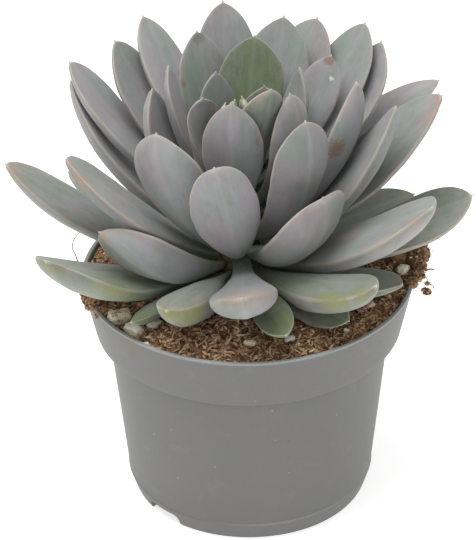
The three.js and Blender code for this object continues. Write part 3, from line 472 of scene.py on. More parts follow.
def soil_material(name, own_colour):
    """Dark brown peat and coir. Loose bits carry a shade of their own (0 dark to 1 pale)."""
    m, nt, b = new_material(name)
    p = places(nt)
    big = noisy(nt, p, 0.14, 3.0, 0.55)
    small = noisy(nt, p, 0.9, 5.0, 0.7)
    tiny = noisy(nt, p, 3.2, 3.0, 0.7)
    if own_colour:
        shade, wet, _ = split(nt, attr(nt, "bit_look").outputs["Vector"])
        col = ramp(nt, calc(nt, "MULTIPLY_ADD", calc(nt, "SUBTRACT", small, 0.5), 0.30, shade), [
            (0.0, srgb(58, 42, 31)), (0.18, srgb(108, 82, 62)), (0.36, srgb(174, 136, 103)), (0.54, srgb(206, 168, 130)),
            (0.72, srgb(208, 177, 142)), (0.88, srgb(226, 204, 170)), (1.0, srgb(240, 230, 208)),
        ])
        col = mix(nt, step(nt, tiny, 0.52, 0.78, 0.0, 0.22), col, srgb(88, 62, 46))
        col = mix(nt, calc(nt, "MULTIPLY", wet, 0.34), col, srgb(158, 104, 78))
    else:
        col = ramp(nt, calc(nt, "MULTIPLY_ADD", big, 0.30, calc(nt, "MULTIPLY", small, 0.80)), [
            (0.30, srgb(54, 39, 29)), (0.50, srgb(112, 84, 63)), (0.64, srgb(154, 120, 92)), (0.80, srgb(188, 154, 120)),
        ])
        col = mix(nt, step(nt, tiny, 0.55, 0.70, 0.0, 0.6), col, srgb(186, 150, 116))
    nt.links.new(col, b.inputs["Base Color"])
    nt.links.new(calc(nt, "MULTIPLY_ADD", small, 0.2, 0.74), b.inputs["Roughness"])
    b.inputs["Specular IOR Level"].default_value = 0.22
    bump(nt, b, (tiny, 0.5, 0.0003), (small, 0.5, 0.0006))
    return m


def stone_material():
    m, nt, b = new_material("pumice")
    p = places(nt)
    kind, pale, _ = split(nt, attr(nt, "bit_look").outputs["Vector"])
    small = noisy(nt, p, 0.8, 5.0, 0.7)
    v = cells(nt, p, 1.1)
    pit = step(nt, v.outputs["Distance"], 0.10, 0.34, 1.0, 0.0)
    col = ramp(nt, pale, [(0.0, srgb(160, 128, 98)), (0.35, srgb(214, 194, 166)), (0.7, srgb(232, 222, 194)), (1.0, srgb(246, 243, 234))])
    col = mix(nt, step(nt, small, 0.40, 0.70, 0.0, 0.45), col, srgb(240, 230, 208))
    col = mix(nt, calc(nt, "MULTIPLY", calc(nt, "MULTIPLY", pit, kind), 0.85), col, srgb(88, 56, 38))
    col = mix(nt, calc(nt, "MULTIPLY", step(nt, noisy(nt, p, 0.42, 4.0, 0.7), 0.53, 0.62), calc(nt, "MULTIPLY", kind, 0.75)), col, srgb(112, 76, 52))
    nt.links.new(col, b.inputs["Base Color"])
    nt.links.new(calc(nt, "MULTIPLY_ADD", small, 0.2, 0.72), b.inputs["Roughness"])
    b.inputs["Specular IOR Level"].default_value = 0.25
    bump(nt, b, (calc(nt, "SUBTRACT", 1.0, pit), 0.5, 0.0004), (small, 0.5, 0.0005))
    return m


def stem_material():
    m, nt, b = new_material("stem_skin")
    p = places(nt)
    n1 = noisy(nt, scaled(nt, p, (0.5, 0.5, 1.2)), 1.0, 4.0, 0.6)
    n2 = noisy(nt, p, 2.4, 3.0, 0.6)
    col = mix(nt, n1, srgb(82, 90, 64), srgb(116, 112, 84))
    col = mix(nt, step(nt, n2, 0.52, 0.70, 0.0, 0.6), col, srgb(118, 92, 62))
    col = mix(nt, step(nt, split(nt, p)[2], 86.0, 94.0, 0.75, 0.0), col, srgb(92, 66, 46))
    nt.links.new(col, b.inputs["Base Color"])
    nt.links.new(calc(nt, "MULTIPLY_ADD", n2, 0.2, 0.6), b.inputs["Roughness"])
    b.inputs["Specular IOR Level"].default_value = 0.3
    bump(nt, b, (n2, 0.3, 0.0003), (n1, 0.4, 0.0008))
    return m


def floor_material():
    m, nt, b = new_material("floor_paper")
    n = noisy(nt, places(nt), 0.02, 2.0, 0.5)
    nt.links.new(mix(nt, n, srgb(206, 206, 206), srgb(209, 209, 209)), b.inputs["Base Color"])
    b.inputs["Roughness"].default_value = 0.9
    b.inputs["Specular IOR Level"].default_value = 0.0
    b.inputs["Emission Color"].default_value = (1.0, 1.0, 1.0, 1.0)
    b.inputs["Emission Strength"].default_value = 0.68
    return m


LEAF_SKIN = leaf_material("leaf_skin")
HEART_SKIN = leaf_material("heart_leaf_skin", heart=True)
PLASTIC = plastic_material()
SOIL = soil_material("soil_mix", False)
BITS = soil_material("soil_bits", True)
PUMICE = stone_material()
STEM = stem_material()


# ---------------------------------------------------------------- leaves
STATIONS = 60
SIDES = 44
SPLIT_IN, SPLIT_OUT, SEXP = 0.6, 1.4, 1.1     # the inner face is flatter than the outer one

# green skin showing, warm margin, tone (on a few leaves painted light and shade), per leaf. Anything not named takes
# the last row.
LOOKS = {
    "outer_leaf_01": (0.62, 0.25, 0.80), "outer_leaf_02": (0.66, 0.15, 0.84), "outer_leaf_03": (0.74, 0.20, 0.84),
    "outer_leaf_04": (0.58, 0.25, 0.90), "outer_leaf_05": (0.26, 0.55, 1.02), "outer_leaf_06": (0.48, 0.45, 0.92),
    "outer_leaf_07": (0.42, 0.45, 0.91), "outer_leaf_08": (0.50, 0.30, 0.84), "outer_leaf_11": (0.46, 0.40, 0.95),
    "outer_leaf_12": (0.40, 0.45, 0.84), "outer_leaf_13": (0.02, 0.55, 1.04), "outer_leaf_14": (0.16, 0.45, 1.00),
    "outer_leaf_15": (0.45, 0.25, 0.90), "outer_leaf_16": (0.10, 1.00, 0.83), "outer_leaf_18": (0.14, 0.50, 1.00),
    "middle_leaf_01": (0.10, 0.60, 1.00), "middle_leaf_02": (0.10, 0.40, 0.98), "middle_leaf_03": (0.00, 0.35, 1.00),
    # the tone of middle_leaf_13 is painted shade; the tones of middle_leaf_05 and inner_leaf_03 are painted light
    "middle_leaf_04": (0.02, 0.40, 1.00), "inner_leaf_16": (0.36, 0.35, 0.96), "middle_leaf_13": (0.02, 0.40, 0.74), "middle_leaf_05": (0.04, 0.45, 1.10), "inner_leaf_03": (0.04, 0.45, 1.09),
    "inner_leaf_02": (0.00, 0.60, 0.88), "inner_leaf_06": (0.06, 0.40, 0.92), "inner_leaf_10": (0.14, 0.45, 0.96),
    "inner_leaf_14": (0.34, 0.60, 1.00), "inner_leaf_15": (0.12, 0.35, 0.96), "inner_leaf_17": (0.20, 0.45, 0.94),
    "heart_leaf_01": (0.20, 0.10, 1.00), "heart_leaf_02": (0.20, 0.10, 1.00), "heart_leaf_03": (0.20, 0.10, 1.00),
    "heart_leaf_04": (0.20, 0.10, 1.00),
    "": (0.04, 0.40, 1.00),
}

# marks of single leaves: kind, t, x, face (1 inner, -1 outer, 0 both), size along, size across (mm), strength
MARKS = {
    "middle_leaf_05": [("brown", 0.71, -0.16, 1, 1.4, 0.8, 1.0), ("dark", 0.70, -0.20, 1, 4.0, 1.6, 0.6)],
    "inner_leaf_10": [("brown", 0.69, -0.90, 0, 1.4, 1.0, 0.8), ("dark", 0.97, 0.0, 0, 2.6, 2.4, 0.9), ("dark", 0.80, 0.6, 1, 7.0, 2.4, 0.45)],
    "inner_leaf_16": [("rubbed", 0.62, 0.0, 1, 16.0, 7.5, 0.75), ("dark", 0.80, -0.1, 1, 9.0, 5.0, 0.25)],
    "outer_leaf_18": [("orange", 0.93, 0.9, 0, 6.0, 2.0, 0.9), ("orange", 0.98, 0.0, 0, 3.0, 3.0, 0.8)],
    "middle_leaf_12": [("brown", 0.66, 0.72, 0, 3.4, 2.4, 1.0), ("dark", 0.66, 0.70, 0, 5.0, 3.4, 0.6)],
    "inner_leaf_08": [("brown", 0.97, 0.0, 0, 2.0, 1.8, 0.9), ("white", 0.86, 0.45, 1, 0.8, 0.7, 1.0)],
    "outer_leaf_05": [("orange", 0.955, 0.0, 0, 5.0, 6.0, 0.7), ("yellow", 0.90, 0.9, 0, 8.0, 2.2, 0.5)],
    "middle_leaf_01": [("orange", 0.93, -1.0, 0, 7.0, 1.8, 0.9), ("orange", 0.98, 0.0, 0, 3.0, 3.0, 0.7)],
    "outer_leaf_13": [("orange", 0.84, 0.62, 0, 9.0, 1.5, 0.8), ("orange", 0.98, 0.0, 0, 2.5, 2.5, 0.6)],
    "outer_leaf_08": [("rubbed", 0.60, -0.6, 0, 9.0, 3.0, 0.8), ("yellow", 0.70, -0.95, -1, 12.0, 2.2, 0.9),
                      ("yellow", 0.95, 0.0, -1, 4.0, 5.0, 0.7), ("rubbed", 0.38, 0.0, 1, 10.0, 4.0, 0.6)],
    "outer_leaf_07": [("yellow", 0.86, -0.95, -1, 9.0, 4.6, 1.0), ("yellow", 0.975, -0.5, -1, 3.0, 5.0, 1.0),
                      ("yellow", 0.76, -0.85, -1, 5.0, 2.6, 0.7)],
    "outer_leaf_16": [("orange", 0.955, 0.25, 1, 1.5, 7.5, 0.9), ("orange", 0.90, -0.62, 1, 2.0, 4.5, 0.85),
                      ("yellow", 0.985, 0.0, 1, 1.3, 5.0, 0.6), ("brown", 0.93, 0.35, 1, 0.5, 0.8, 0.7),
                      ("brown", 0.60, 0.55, 1, 0.9, 0.6, 0.5)],
    "outer_leaf_12": [("brown", 0.59, -0.31, 1, 2.0, 0.7, 0.7), ("yellow", 0.80, 0.98, 0, 9.0, 2.2, 0.9),
                      ("yellow", 0.94, 0.75, 0, 4.0, 3.0, 0.7), ("rubbed", 0.40, 0.5, 1, 8.0, 3.0, 0.5)],
    "outer_leaf_14": [("orange", 0.95, 0.85, 0, 4.0, 1.6, 0.8), ("orange", 0.86, 0.72, 1, 7.0, 1.1, 0.7),
                      ("yellow", 0.76, 0.75, 1, 7.0, 1.2, 0.5), ("rubbed", 0.45, -0.6, 0, 10.0, 3.0, 0.5)],
    "outer_leaf_11": [("rubbed", 0.55, 0.3, 1, 14.0, 4.0, 0.45), ("brown", 0.62, 0.9, 0, 2.4, 0.8, 0.5)],
    "outer_leaf_06": [("brown", 0.80, 0.3, 1, 2.0, 1.2, 0.5), ("orange", 0.93, 0.0, 0, 5.0, 4.0, 0.5)],
    "inner_leaf_02": [("brown", 0.71, -0.86, -1, 2.8, 0.7, 0.75), ("brown", 0.62, -0.80, -1, 1.2, 0.6, 0.6)],
    "outer_leaf_04": [("yellow", 0.72, 0.2, 1, 9.0, 1.2, 0.8), ("brown", 0.985, 0.0, 0, 1.4, 1.4, 0.7)],
    "outer_leaf_03": [("yellow", 0.55, 0.2, 0, 13.0, 5.0, 0.55), ("yellow", 0.85, 0.0, 0, 8.0, 6.0, 0.7), ("brown", 0.70, -0.3, 0, 3.0, 1.8, 0.5)],
    "outer_leaf_02": [("yellow", 0.90, 0.0, 0, 5.0, 6.0, 0.5)],
    "inner_leaf_14": [("orange", 0.93, 0.8, 0, 5.0, 2.0, 0.6)],
    "inner_leaf_07": [("orange", 0.90, 0.8, 0, 5.0, 2.0, 0.6)],
    "inner_leaf_04": [("orange", 0.92, -0.8, 0, 5.0, 2.0, 0.5)],
}


def leaf_piece(row, number):
    name, phi, z0, e0, e1, L, W, T, roll, twist, bend, wb, tm, p, q, ep, tb, cup = row
    heart = name.startswith("heart")
    nib = 1.1 if not heart else 1.6            # length of the hard point, mm
    last = 1.0 + 0.25 / L
    bq = 0.46 + 0.20 * q
    qq = q * (0.90 if q > 0.7 else 1.0)
    # sections crowd together towards the end
    end = 3.6 / L
    s = np.linspace(0.0, 1.0, STATIONS)
    near = 1.0 + 0.25 / L - (end + 0.25 / L) * np.linspace(1.0, 0.0, 16) ** 1.5
    far = (1.0 - end) * (1.0 - (1.0 - s) ** 1.25)
    ts = np.concatenate([far[:-1][far[:-1] < 1.0 - end - (near[1] - near[0]) * 0.7], near])

    steps = 48
    mids = (np.arange(steps) + 0.5) / steps
    e = np.radians(e0 + (e1 - e0) * mids ** ep)
    h = np.radians(phi + bend * mids)
    seg = np.stack([np.cos(e) * np.cos(h), np.cos(e) * np.sin(h), np.sin(e)], 1) * (L / steps)
    cum = np.vstack([np.zeros(3), np.cumsum(seg, 0)])
    r0 = interp(z0, STEM_PROFILE) + 0.5 + 0.45 * T * tb * max(math.sin(math.radians(e0)), 0.0)
    start = np.array([
        STEM_AT[0] + r0 * math.cos(math.radians(phi)),
        STEM_AT[1] + r0 * math.sin(math.radians(phi)),
        SOIL_Z + z0,
    ])
    th = np.linspace(0.0, 2.0 * math.pi, SIDES, endpoint=False)
    cx, sx = np.cos(th), np.sin(th)
    edge_y = np.sign(sx) * np.abs(sx) ** SEXP * np.where(sx > 0, SPLIT_IN, SPLIT_OUT)
    if name == "outer_leaf_16":   # this one is plump and round at its margins
        edge_y = np.sign(sx) * np.abs(sx) ** 0.88 * np.where(sx > 0, 0.78, 1.22)
    verts, uv, at = [], [], []
    off = 37.0 * (number + 1)
    for t in ts:
        tt = min(t, 1.0)
        k = min(int(tt * steps), steps - 1)
        c = start + cum[k] + (cum[k + 1] - cum[k]) * (tt * steps - k)
        ee = math.radians(e0 + (e1 - e0) * tt ** ep)
        hh = math.radians(phi + bend * tt)
        along = np.array([math.cos(ee) * math.cos(hh), math.cos(ee) * math.sin(hh), math.sin(ee)])
        up = np.array([-math.sin(ee) * math.cos(hh), -math.sin(ee) * math.sin(hh), math.cos(ee)])
        side = np.cross(along, up)
        r = math.radians(roll + twist * tt)
        w = side * math.cos(r) + up * math.sin(r)
        n = up * math.cos(r) - side * math.sin(r)
        c = c + along * (t - tt) * L
        tb_ = min(t / (1.0 - (nib - 0.35) / L), 1.0)   # the fleshy part ends before the point
        if tb_ < tm:
            u = (tb_ / tm) ** (1.9 if name == "outer_leaf_16" else 1.0)   # this one has a long narrow neck
            a = W / 2 * (wb + (1 - wb) * (0.6 * u * u * (3 - 2 * u) + 0.4 * math.sin(u * math.pi / 2)))
        else:
            v = (tb_ - tm) / (1 - tm)
            a = W / 2 * max(1 - v ** p, 0.0) ** qq
        if tb_ < 0.45:
            b = T / 2 * (tb + (1 - tb) * math.sin(tb_ / 0.45 * math.pi / 2))
        else:
            b = T / 2 * max(1 - ((tb_ - 0.45) / 0.55) ** 2.6, 0.0) ** bq
        b = min(b, 0.9 * a)
        # the small hard point at the end, with a hollow shoulder
        d_end = (last - t) * L
        if d_end < 4.0:
            tip = (0.20 + 0.40 * (d_end / nib) ** 1.3) * math.sqrt(min(1.0, max(d_end, 0.0) / 0.3))
            tip *= min(max((4.0 - d_end) / 2.4, 0.0), 1.0)
            a = (a ** 2.6 + tip ** 2.6) ** (1 / 2.6)
            b = (b ** 2.6 + (0.8 * tip) ** 2.6) ** (1 / 2.6)
        # margins run a little unevenly, and the skin has shallow dents
        wave_l = 1.0 + 0.010 * math.sin(t * 17.0 + off) + 0.008 * math.sin(t * 31.0 + 2 * off)
        wave_r = 1.0 + 0.010 * math.sin(t * 15.0 + 3 * off) + 0.008 * math.sin(t * 37.0 + off)
        fade = min(1.0, (1.0 - tt) / 0.08)
        aw = np.where(cx > 0, a * (1 + (wave_r - 1) * fade), a * (1 + (wave_l - 1) * fade))
        X = aw * cx
        Y = b * edge_y + cup * a * (cx * cx - 0.35)
        body = math.sin(min(max((tt - 0.1) / 0.85, 0.0), 1.0) * math.pi) ** 0.5 * fade
        # low keel on the outer face, fine groove on the inner one
        keel = np.exp(-(cx / 0.13) ** 2)
        Y = Y - np.where(sx < 0, 0.030 * T * keel * body, 0.0) - np.where(sx > 0, 0.014 * T * keel * body, 0.0)
        P = c + np.outer(X, w) + np.outer(Y, n)
        if body > 0.0:
            d = np.array([
                noise.fractal((t * L * 0.055 + off, x * a * 0.075, s_ * 0.35 + off), 1.0, 2.0, 2)
                for x, s_ in zip(cx, sx)
            ])
            P = P + np.outer(d * 0.20 * body * np.where(np.abs(cx) < 0.9, 1.0, 0.5) * np.sign(sx), n)
        verts.append(P)
        uv.append(np.stack([np.full(SIDES, t * L), X, np.full(SIDES, off)], 1))
        at.append(np.stack([np.full(SIDES, t), cx, sx], 1))
    rings = len(verts)
    verts = np.vstack(verts + [verts[0].mean(0)[None], verts[-1].mean(0)[None] + 0.0])
    uv = np.vstack(uv + [[[0.0, 0.0, off]], [[last * L, 0.0, off]]])
    at = np.vstack(at + [[[0.0, 0.0, 0.0]], [[last, 0.0, 1.0]]])
    # the two faces of the leaf are different places in the pattern
    uv[:, 2] += np.where(at[:, 2] > 0, 0.0, 5.3)
    look = LOOKS.get(name, LOOKS[""])
    rnd = random.Random(number * 7919 + 11)
    look = (look[0] + rnd.uniform(-0.03, 0.03), look[1] * rnd.uniform(0.8, 1.2), look[2] * rnd.uniform(0.975, 1.02))
    marks = {k: np.zeros(len(verts)) for k in ("brown", "yellow", "orange", "rubbed", "white", "dark")}
    for kind, mt, mx, face, dl, dw, strength in MARKS.get(name, []):
        half = W / 2 * (wb + (1 - wb) * math.sin(min(mt / tm, 1.0) * math.pi / 2)) if mt < tm else (
            W / 2 * max(1 - ((mt - tm) / (1 - tm)) ** p, 0.0) ** q)
        du = (at[:, 0] - mt) * L / dl
        dv = (uv[:, 1] - mx * half) / dw
        g = np.exp(-0.5 * (du * du + dv * dv)) * strength
        if face:
            g = g * np.clip(at[:, 2] * face * 3.0 + 0.6, 0.0, 1.0)
        marks[kind] = np.maximum(marks[kind], g)
    ob = make_object(
        name + "_skin", verts, tube_faces(rings, SIDES, rings * SIDES, rings * SIDES + 1),
        [HEART_SKIN if heart else LEAF_SKIN],
        attributes={
            "leaf_uv": uv, "leaf_at": at, "leaf_look": np.tile(look, (len(verts), 1)),
            "leaf_marks": np.stack([marks["brown"], marks["yellow"], marks["orange"]], 1),
            "leaf_marks_2": np.stack([marks["rubbed"], marks["white"], marks["dark"]], 1),
        },
    )
    face_out(ob)
    return wear(ob, "heart_leaf_skin" if heart else "leaf_skin", name)


for number, row in enumerate(LEAVES):
    leaf_piece(row, number)


# ---------------------------------------------------------------- stem
def stem_piece():
    rings, sides = 90, 48
    zs = np.linspace(-14.0, 49.95, rings)
    verts = []
    for z in zs:
        r = interp(z, STEM_PROFILE)
        for i in range(sides):
            a = 2 * math.pi * i / sides
            # leaf scars stand round the stem in low ridges
            k = 0.25 * math.sin(z * 1.9 + 0.8 * math.sin(2 * a) + 1.0 * a) if z > -2 else 0.0
            d = 0.35 * noise.fractal((math.cos(a) * r * 0.35, math.sin(a) * r * 0.35, z * 0.3), 1.0, 2.0, 3)
            rr = max(r - 0.45 + k * min(r / 6.0, 1.0) * 0.7 + d * min(r / 6.0, 1.0), 0.05)
            verts.append((STEM_AT[0] + rr * math.cos(a), STEM_AT[1] + rr * math.sin(a), SOIL_Z + z))
    verts.append((STEM_AT[0], STEM_AT[1], SOIL_Z + zs[0]))
    verts.append((STEM_AT[0], STEM_AT[1], SOIL_Z + zs[-1] + 0.02))
    ob = make_object("stem_skin_piece", verts, tube_faces(rings, sides, rings * sides, rings * sides + 1), [STEM])
    face_out(ob)
    return wear(ob, "stem_skin", "stem")


stem_piece()


# ---------------------------------------------------------------- pot
INNER = [(1.8, 42.2), (7.65, 43.7), (65.15, 49.8), (67.75, 54.1), (87.25, 58.5)]


def rounded(points, radii, count=5):
    """The polyline (r, z) with its corners rounded."""
    out = []
    n = len(points)
    for i, (p, rad) in enumerate(zip(points, radii)):
        p = np.array(p, float)
        if rad <= 0 or i in (0, n - 1):
            out.append(tuple(p))
            continue
        a, c = np.array(points[i - 1], float), np.array(points[i + 1], float)
        u, v = (a - p) / np.linalg.norm(a - p), (c - p) / np.linalg.norm(c - p)
        d = min(rad, 0.48 * np.linalg.norm(a - p), 0.48 * np.linalg.norm(c - p))
        s, e = p + u * d, p + v * d
        for k in range(count + 1):
            f = k / count
            out.append(tuple((1 - f) ** 2 * s + 2 * f * (1 - f) * p + f * f * e))
    return out


def between(points, longest):
    out = [points[0]]
    for a, b in zip(points, points[1:]):
        d = math.hypot(b[0] - a[0], b[1] - a[1])
        k = max(1, math.ceil(d / longest))
        for j in range(1, k + 1):
            out.append((a[0] + (b[0] - a[0]) * j / k, a[1] + (b[1] - a[1]) * j / k))
    return out


def pot_piece():
    corners = [
        ((0.0, 0.0), 0), ((43.2, 0.0), 0.6), ((45.35, 6.75), 0.25), ((45.12, 7.25), 0.2), ((51.2, 66.75), 0.45), ((55.4, 66.75), 0.55),
        ((60.0, 87.65), 0.55), ((58.55, 87.65), 0.45), ((54.1, 67.75), 0.8), ((49.8, 65.15), 0.8),
        ((43.7, 7.65), 0.8), ((42.2, 1.8), 0.8), ((0.0, 1.8), 0),
    ]
    # the foot ring steps in under a fine line
    outline = rounded([c for c, _ in corners], [r for _, r in corners])
    outline = between(outline, 2.6)
    sides = 208
    verts, faces = [], []
    ring_at = []
    for r, z in outline:
        if r < 1e-6:
            ring_at.append((len(verts), 1))
            verts.append((0.0, 0.0, z))
            continue
        ring_at.append((len(verts), sides))
        for i in range(sides):
            a = 2 * math.pi * i / sides
            # moulded walls are never quite round
            w = 0.10 * math.sin(2 * a + 0.7) * (z / 87.65) + 0.05 * math.sin(5 * a + 0.05 * z)
            rr = r + w * min(1.0, r / 40.0) - 0.10
            verts.append((rr * math.cos(a), rr * math.sin(a), z))
    for (a, na), (b, nb) in zip(ring_at, ring_at[1:]):
        for i in range(sides):
            j = (i + 1) % sides
            if na == 1:
                faces.append((a, b + i, b + j))
            elif nb == 1:
                faces.append((a + i, b, a + j))
            else:
                faces.append((a + i, b + i, b + j, a + j))
    ob = make_object("pot_body", verts, faces, [PLASTIC])
    face_out(ob)
    # two drainage notches, cut through the foot
    notch_v, notch_f = [], []
    w, top = 15.6 / 2, 4.4
    arch = [(-w, -2.0), (w, -2.0), (w - 0.3, top - 2.4)]
    arch += [(w - 0.3 - 2.3 * (1 - math.cos(u)), top - 2.4 + 2.4 * math.sin(u)) for u in np.linspace(0.2, math.pi / 2, 7)]
    arch += [(-x, z) for x, z in reversed(arch[2:])]
    for azimuth in (223.5, 43.5):
        base = len(notch_v)
        ca, sa = math.cos(math.radians(azimuth)), math.sin(math.radians(azimuth))
        for d in (35.0, 52.0):
            for x, z in arch:
                notch_v.append((d * ca - x * sa, d * sa + x * ca, z))
        k = len(arch)
        notch_f.append(tuple(base + i for i in range(k)))
        notch_f.append(tuple(base + k + i for i in reversed(range(k))))
        for i in range(k):
            j = (i + 1) % k
            notch_f.append((base + j, base + i, base + k + i, base + k + j))
    cutter = make_object("notch_cutter", notch_v, notch_f, [PLASTIC], smooth=False)
    face_out(cutter)
    mod = ob.modifiers.new("notches", "BOOLEAN")
    mod.operation = "DIFFERENCE"
    mod.solver = "EXACT"
    mod.object = cutter
    bpy.context.view_layer.update()
    done = bpy.data.meshes.new_from_object(ob.evaluated_get(bpy.context.evaluated_depsgraph_get()))
    ob.modifiers.clear()
    ob.data = done
    bpy.data.objects.remove(cutter)
    done.polygons.foreach_set("use_smooth", [True] * len(done.polygons))
    done.set_sharp_from_angle(angle=math.radians(40))
    return wear(ob, "pot_plastic", "pot")


pot_piece()


# ---------------------------------------------------------------- soil
def soil_height(x, y):
    """The level surface the CAD solid has, above SOIL_Z."""
    r = math.hypot(x, y) / 58.0
    lumps = 0.35 * math.sin(0.31 * x + 1.1) * math.cos(0.27 * y - 0.6) + 0.25 * math.sin(0.19 * x - 0.41 * y)
    return 1.5 - 4.0 * r * r + lumps * 0.6 - 0.25


# heaps and hollows: x, y, radius, height (mm)
HEAPS = [
    (56.0, 6.0, 7.5, 3.4), (50.0, 2.0, 9.0, 2.2), (-55.5, -9.0, 6.5, 2.9), (-54.0, -18.0, 5.5, 2.4), (-50.0, 10.0, 8.0, 1.6),
    (-46.0, -27.0, 6.0, -0.3), (38.0, -38.0, 9.0, 0.8), (0.0, -52.0, 12.0, 1.0), (20.0, -47.0, 9.0, 0.9), (-20.0, -46.0, 9.0, 0.7),
    (50.0, -20.0, 8.0, 0.9),
]


def ground(x, y):
    z = soil_height(x, y)
    for hx, hy, hr, hh in HEAPS:
        z += hh * math.exp(-((x - hx) ** 2 + (y - hy) ** 2) / (2 * (hr * 0.55) ** 2))
    r = math.hypot(x, y)
    rough = 1.05 * noise.fractal((x * 0.13, y * 0.13, 3.1), 0.9, 2.0, 3) + 0.62 * noise.fractal((x * 0.42, y * 0.42, 7.7), 0.8, 2.1, 3)
    quiet = min(1.0, max(0.0, (r - 9.5) / 6.0))
    return z + rough * quiet


def soil_piece():
    sides, rings = 400, 118
    verts, faces = [], []
    edge = interp(SOIL_Z - 3.0, INNER) - 0.35
    # a socket for the stem
    pit = 8.85
    def ring(cx, cy, r, z):
        for i in range(sides):
            a = 2 * math.pi * i / sides
            x, y = cx + r * math.cos(a), cy + r * math.sin(a)
            verts.append((x, y, z(x, y) if callable(z) else z))
    verts.append((STEM_AT[0], STEM_AT[1], SOIL_Z - 14.35))
    ring(STEM_AT[0], STEM_AT[1], pit - 1.5, SOIL_Z - 14.35)
    ring(STEM_AT[0], STEM_AT[1], pit, SOIL_Z - 12.35)
    for k in range(rings + 1):
        s = k / rings
        ring(STEM_AT[0] * (1 - s), STEM_AT[1] * (1 - s), pit + (edge - pit) * s, lambda x, y: SOIL_Z + ground(x, y))
    top = [v for v in verts[-sides:]]
    for z in (82.0, 78.0, 72.0, 67.75, 65.15, 36.0, 7.65, 2.15):
        r = interp(z, INNER) - 0.35
        ring(0, 0, r, z)
    count = (len(verts) - 1) // sides
    last = len(verts)
    verts.append((0.0, 0.0, 2.15))
    for i in range(sides):
        faces.append((0, 1 + (i + 1) % sides, 1 + i))
    for k in range(count - 1):
        for i in range(sides):
            j = (i + 1) % sides
            a, b = 1 + k * sides, 1 + (k + 1) * sides
            faces.append((a + i, a + j, b + j, b + i))
    a = 1 + (count - 1) * sides
    for i in range(sides):
        faces.append((last, a + i, a + (i + 1) % sides))
    ob = make_object("soil_bed", verts, faces, [SOIL])
    face_out(ob)
    return wear(ob, "soil_mix", "soil")


soil_piece()


# ---------------------------------------------------------------- loose bits of the soil
class Bits:
    """Collects many small closed lumps and fibres in one mesh."""

    def __init__(self, seed):
        self.rnd = random.Random(seed)
        self.v, self.f, self.look = [], [], []
        self.count = 0

    def lump(self, at, size, shade, wet=0.0, flat=0.7, detail=0):
        r = self.rnd
        base_v, base_f = LUMPS[detail]
        q = Matrix.Rotation(r.uniform(0, 6.28), 3, "Z") @ Matrix.Rotation(r.uniform(-0.6, 0.6), 3, "X") @ Matrix.Rotation(r.uniform(-0.6, 0.6), 3, "Y")
        s = np.array([r.uniform(0.7, 1.3), r.uniform(0.6, 1.1), flat * r.uniform(0.7, 1.2)]) * size
        pts = base_v * np.array([[1 + r.uniform(-0.28, 0.28)] for _ in range(len(base_v))]) * s
        pts = pts @ np.array(q.transposed()) + np.array(at)
        self._add(pts, base_f, shade, wet)

    def fibre(self, at, direction, length, thick, shade, wet=0.0, curl=0.25):
        r = self.rnd
        d = np.array(direction, float)
        d /= np.linalg.norm(d)
        ref = np.array([0.0, 0.0, 1.0]) if abs(d[2]) < 0.9 else np.array([1.0, 0.0, 0.0])
        u = np.cross(d, ref)
        u /= np.linalg.norm(u)
        w = np.cross(d, u)
        bend_u, bend_w = r.uniform(-curl, curl) * length, r.uniform(-curl, curl) * length * 0.6
        pts = []
        sides = 3
        turn = r.uniform(0, 2.0)
        for k, f in enumerate((0.0, 0.33, 0.67, 1.0)):
            c = np.array(at) + d * (f - 0.5) * length + u * bend_u * (f * f - f) * 2 + w * bend_w * (f * f - f) * 2
            rad = thick * 0.5 * (0.55, 1.0, 0.9, 0.4)[k] * r.uniform(0.85, 1.15)
            for i in range(sides):
                a = 2 * math.pi * i / sides + turn
                pts.append(c + u * math.cos(a) * rad + w * math.sin(a) * rad * 0.7)
        tip0 = np.mean(pts[:3], 0) - d * thick * 0.4
        tip1 = np.mean(pts[-3:], 0) + d * thick * 0.6
        self._add(np.array(pts + [tip0, tip1]), FIBRE_FACES, shade, wet)

    def _add(self, pts, faces, shade, wet):
        self.v.append(pts)
        self.f.extend([tuple(i + self.count for i in f) for f in faces])
        self.look.append(np.tile((shade, wet, 0.0), (len(pts), 1)))
        self.count += len(pts)

    def piece(self, name, material, slot):
        ob = make_object(name, np.vstack(self.v), self.f, [material], attributes={"bit_look": np.vstack(self.look)})
        face_out(ob)
        return wear(ob, slot)


def ball(level):
    import bmesh
    bm = bmesh.new()
    bmesh.ops.create_icosphere(bm, subdivisions=level, radius=1.0)
    v = np.array([list(x.co) for x in bm.verts])
    f = [tuple(x.index for x in fc.verts) for fc in bm.faces]
    bm.free()
    return v, f


LUMPS = [ball(1), ball(2), ball(3)]
FIBRE_FACES = tube_faces(4, 3, 12, 13)


def shade_of(r, pale=0.10):
    k = r.random()
    if k < pale:
        return r.uniform(0.70, 0.98)
    if k < 0.55:
        return r.uniform(0.38, 0.68)
    return r.uniform(0.08, 0.40)


def fibre_shade(r):
    k = r.random()
    if k < 0.13:
        return r.uniform(0.74, 0.98)
    if k < 0.60:
        return r.uniform(0.42, 0.72)
    return r.uniform(0.02, 0.38)


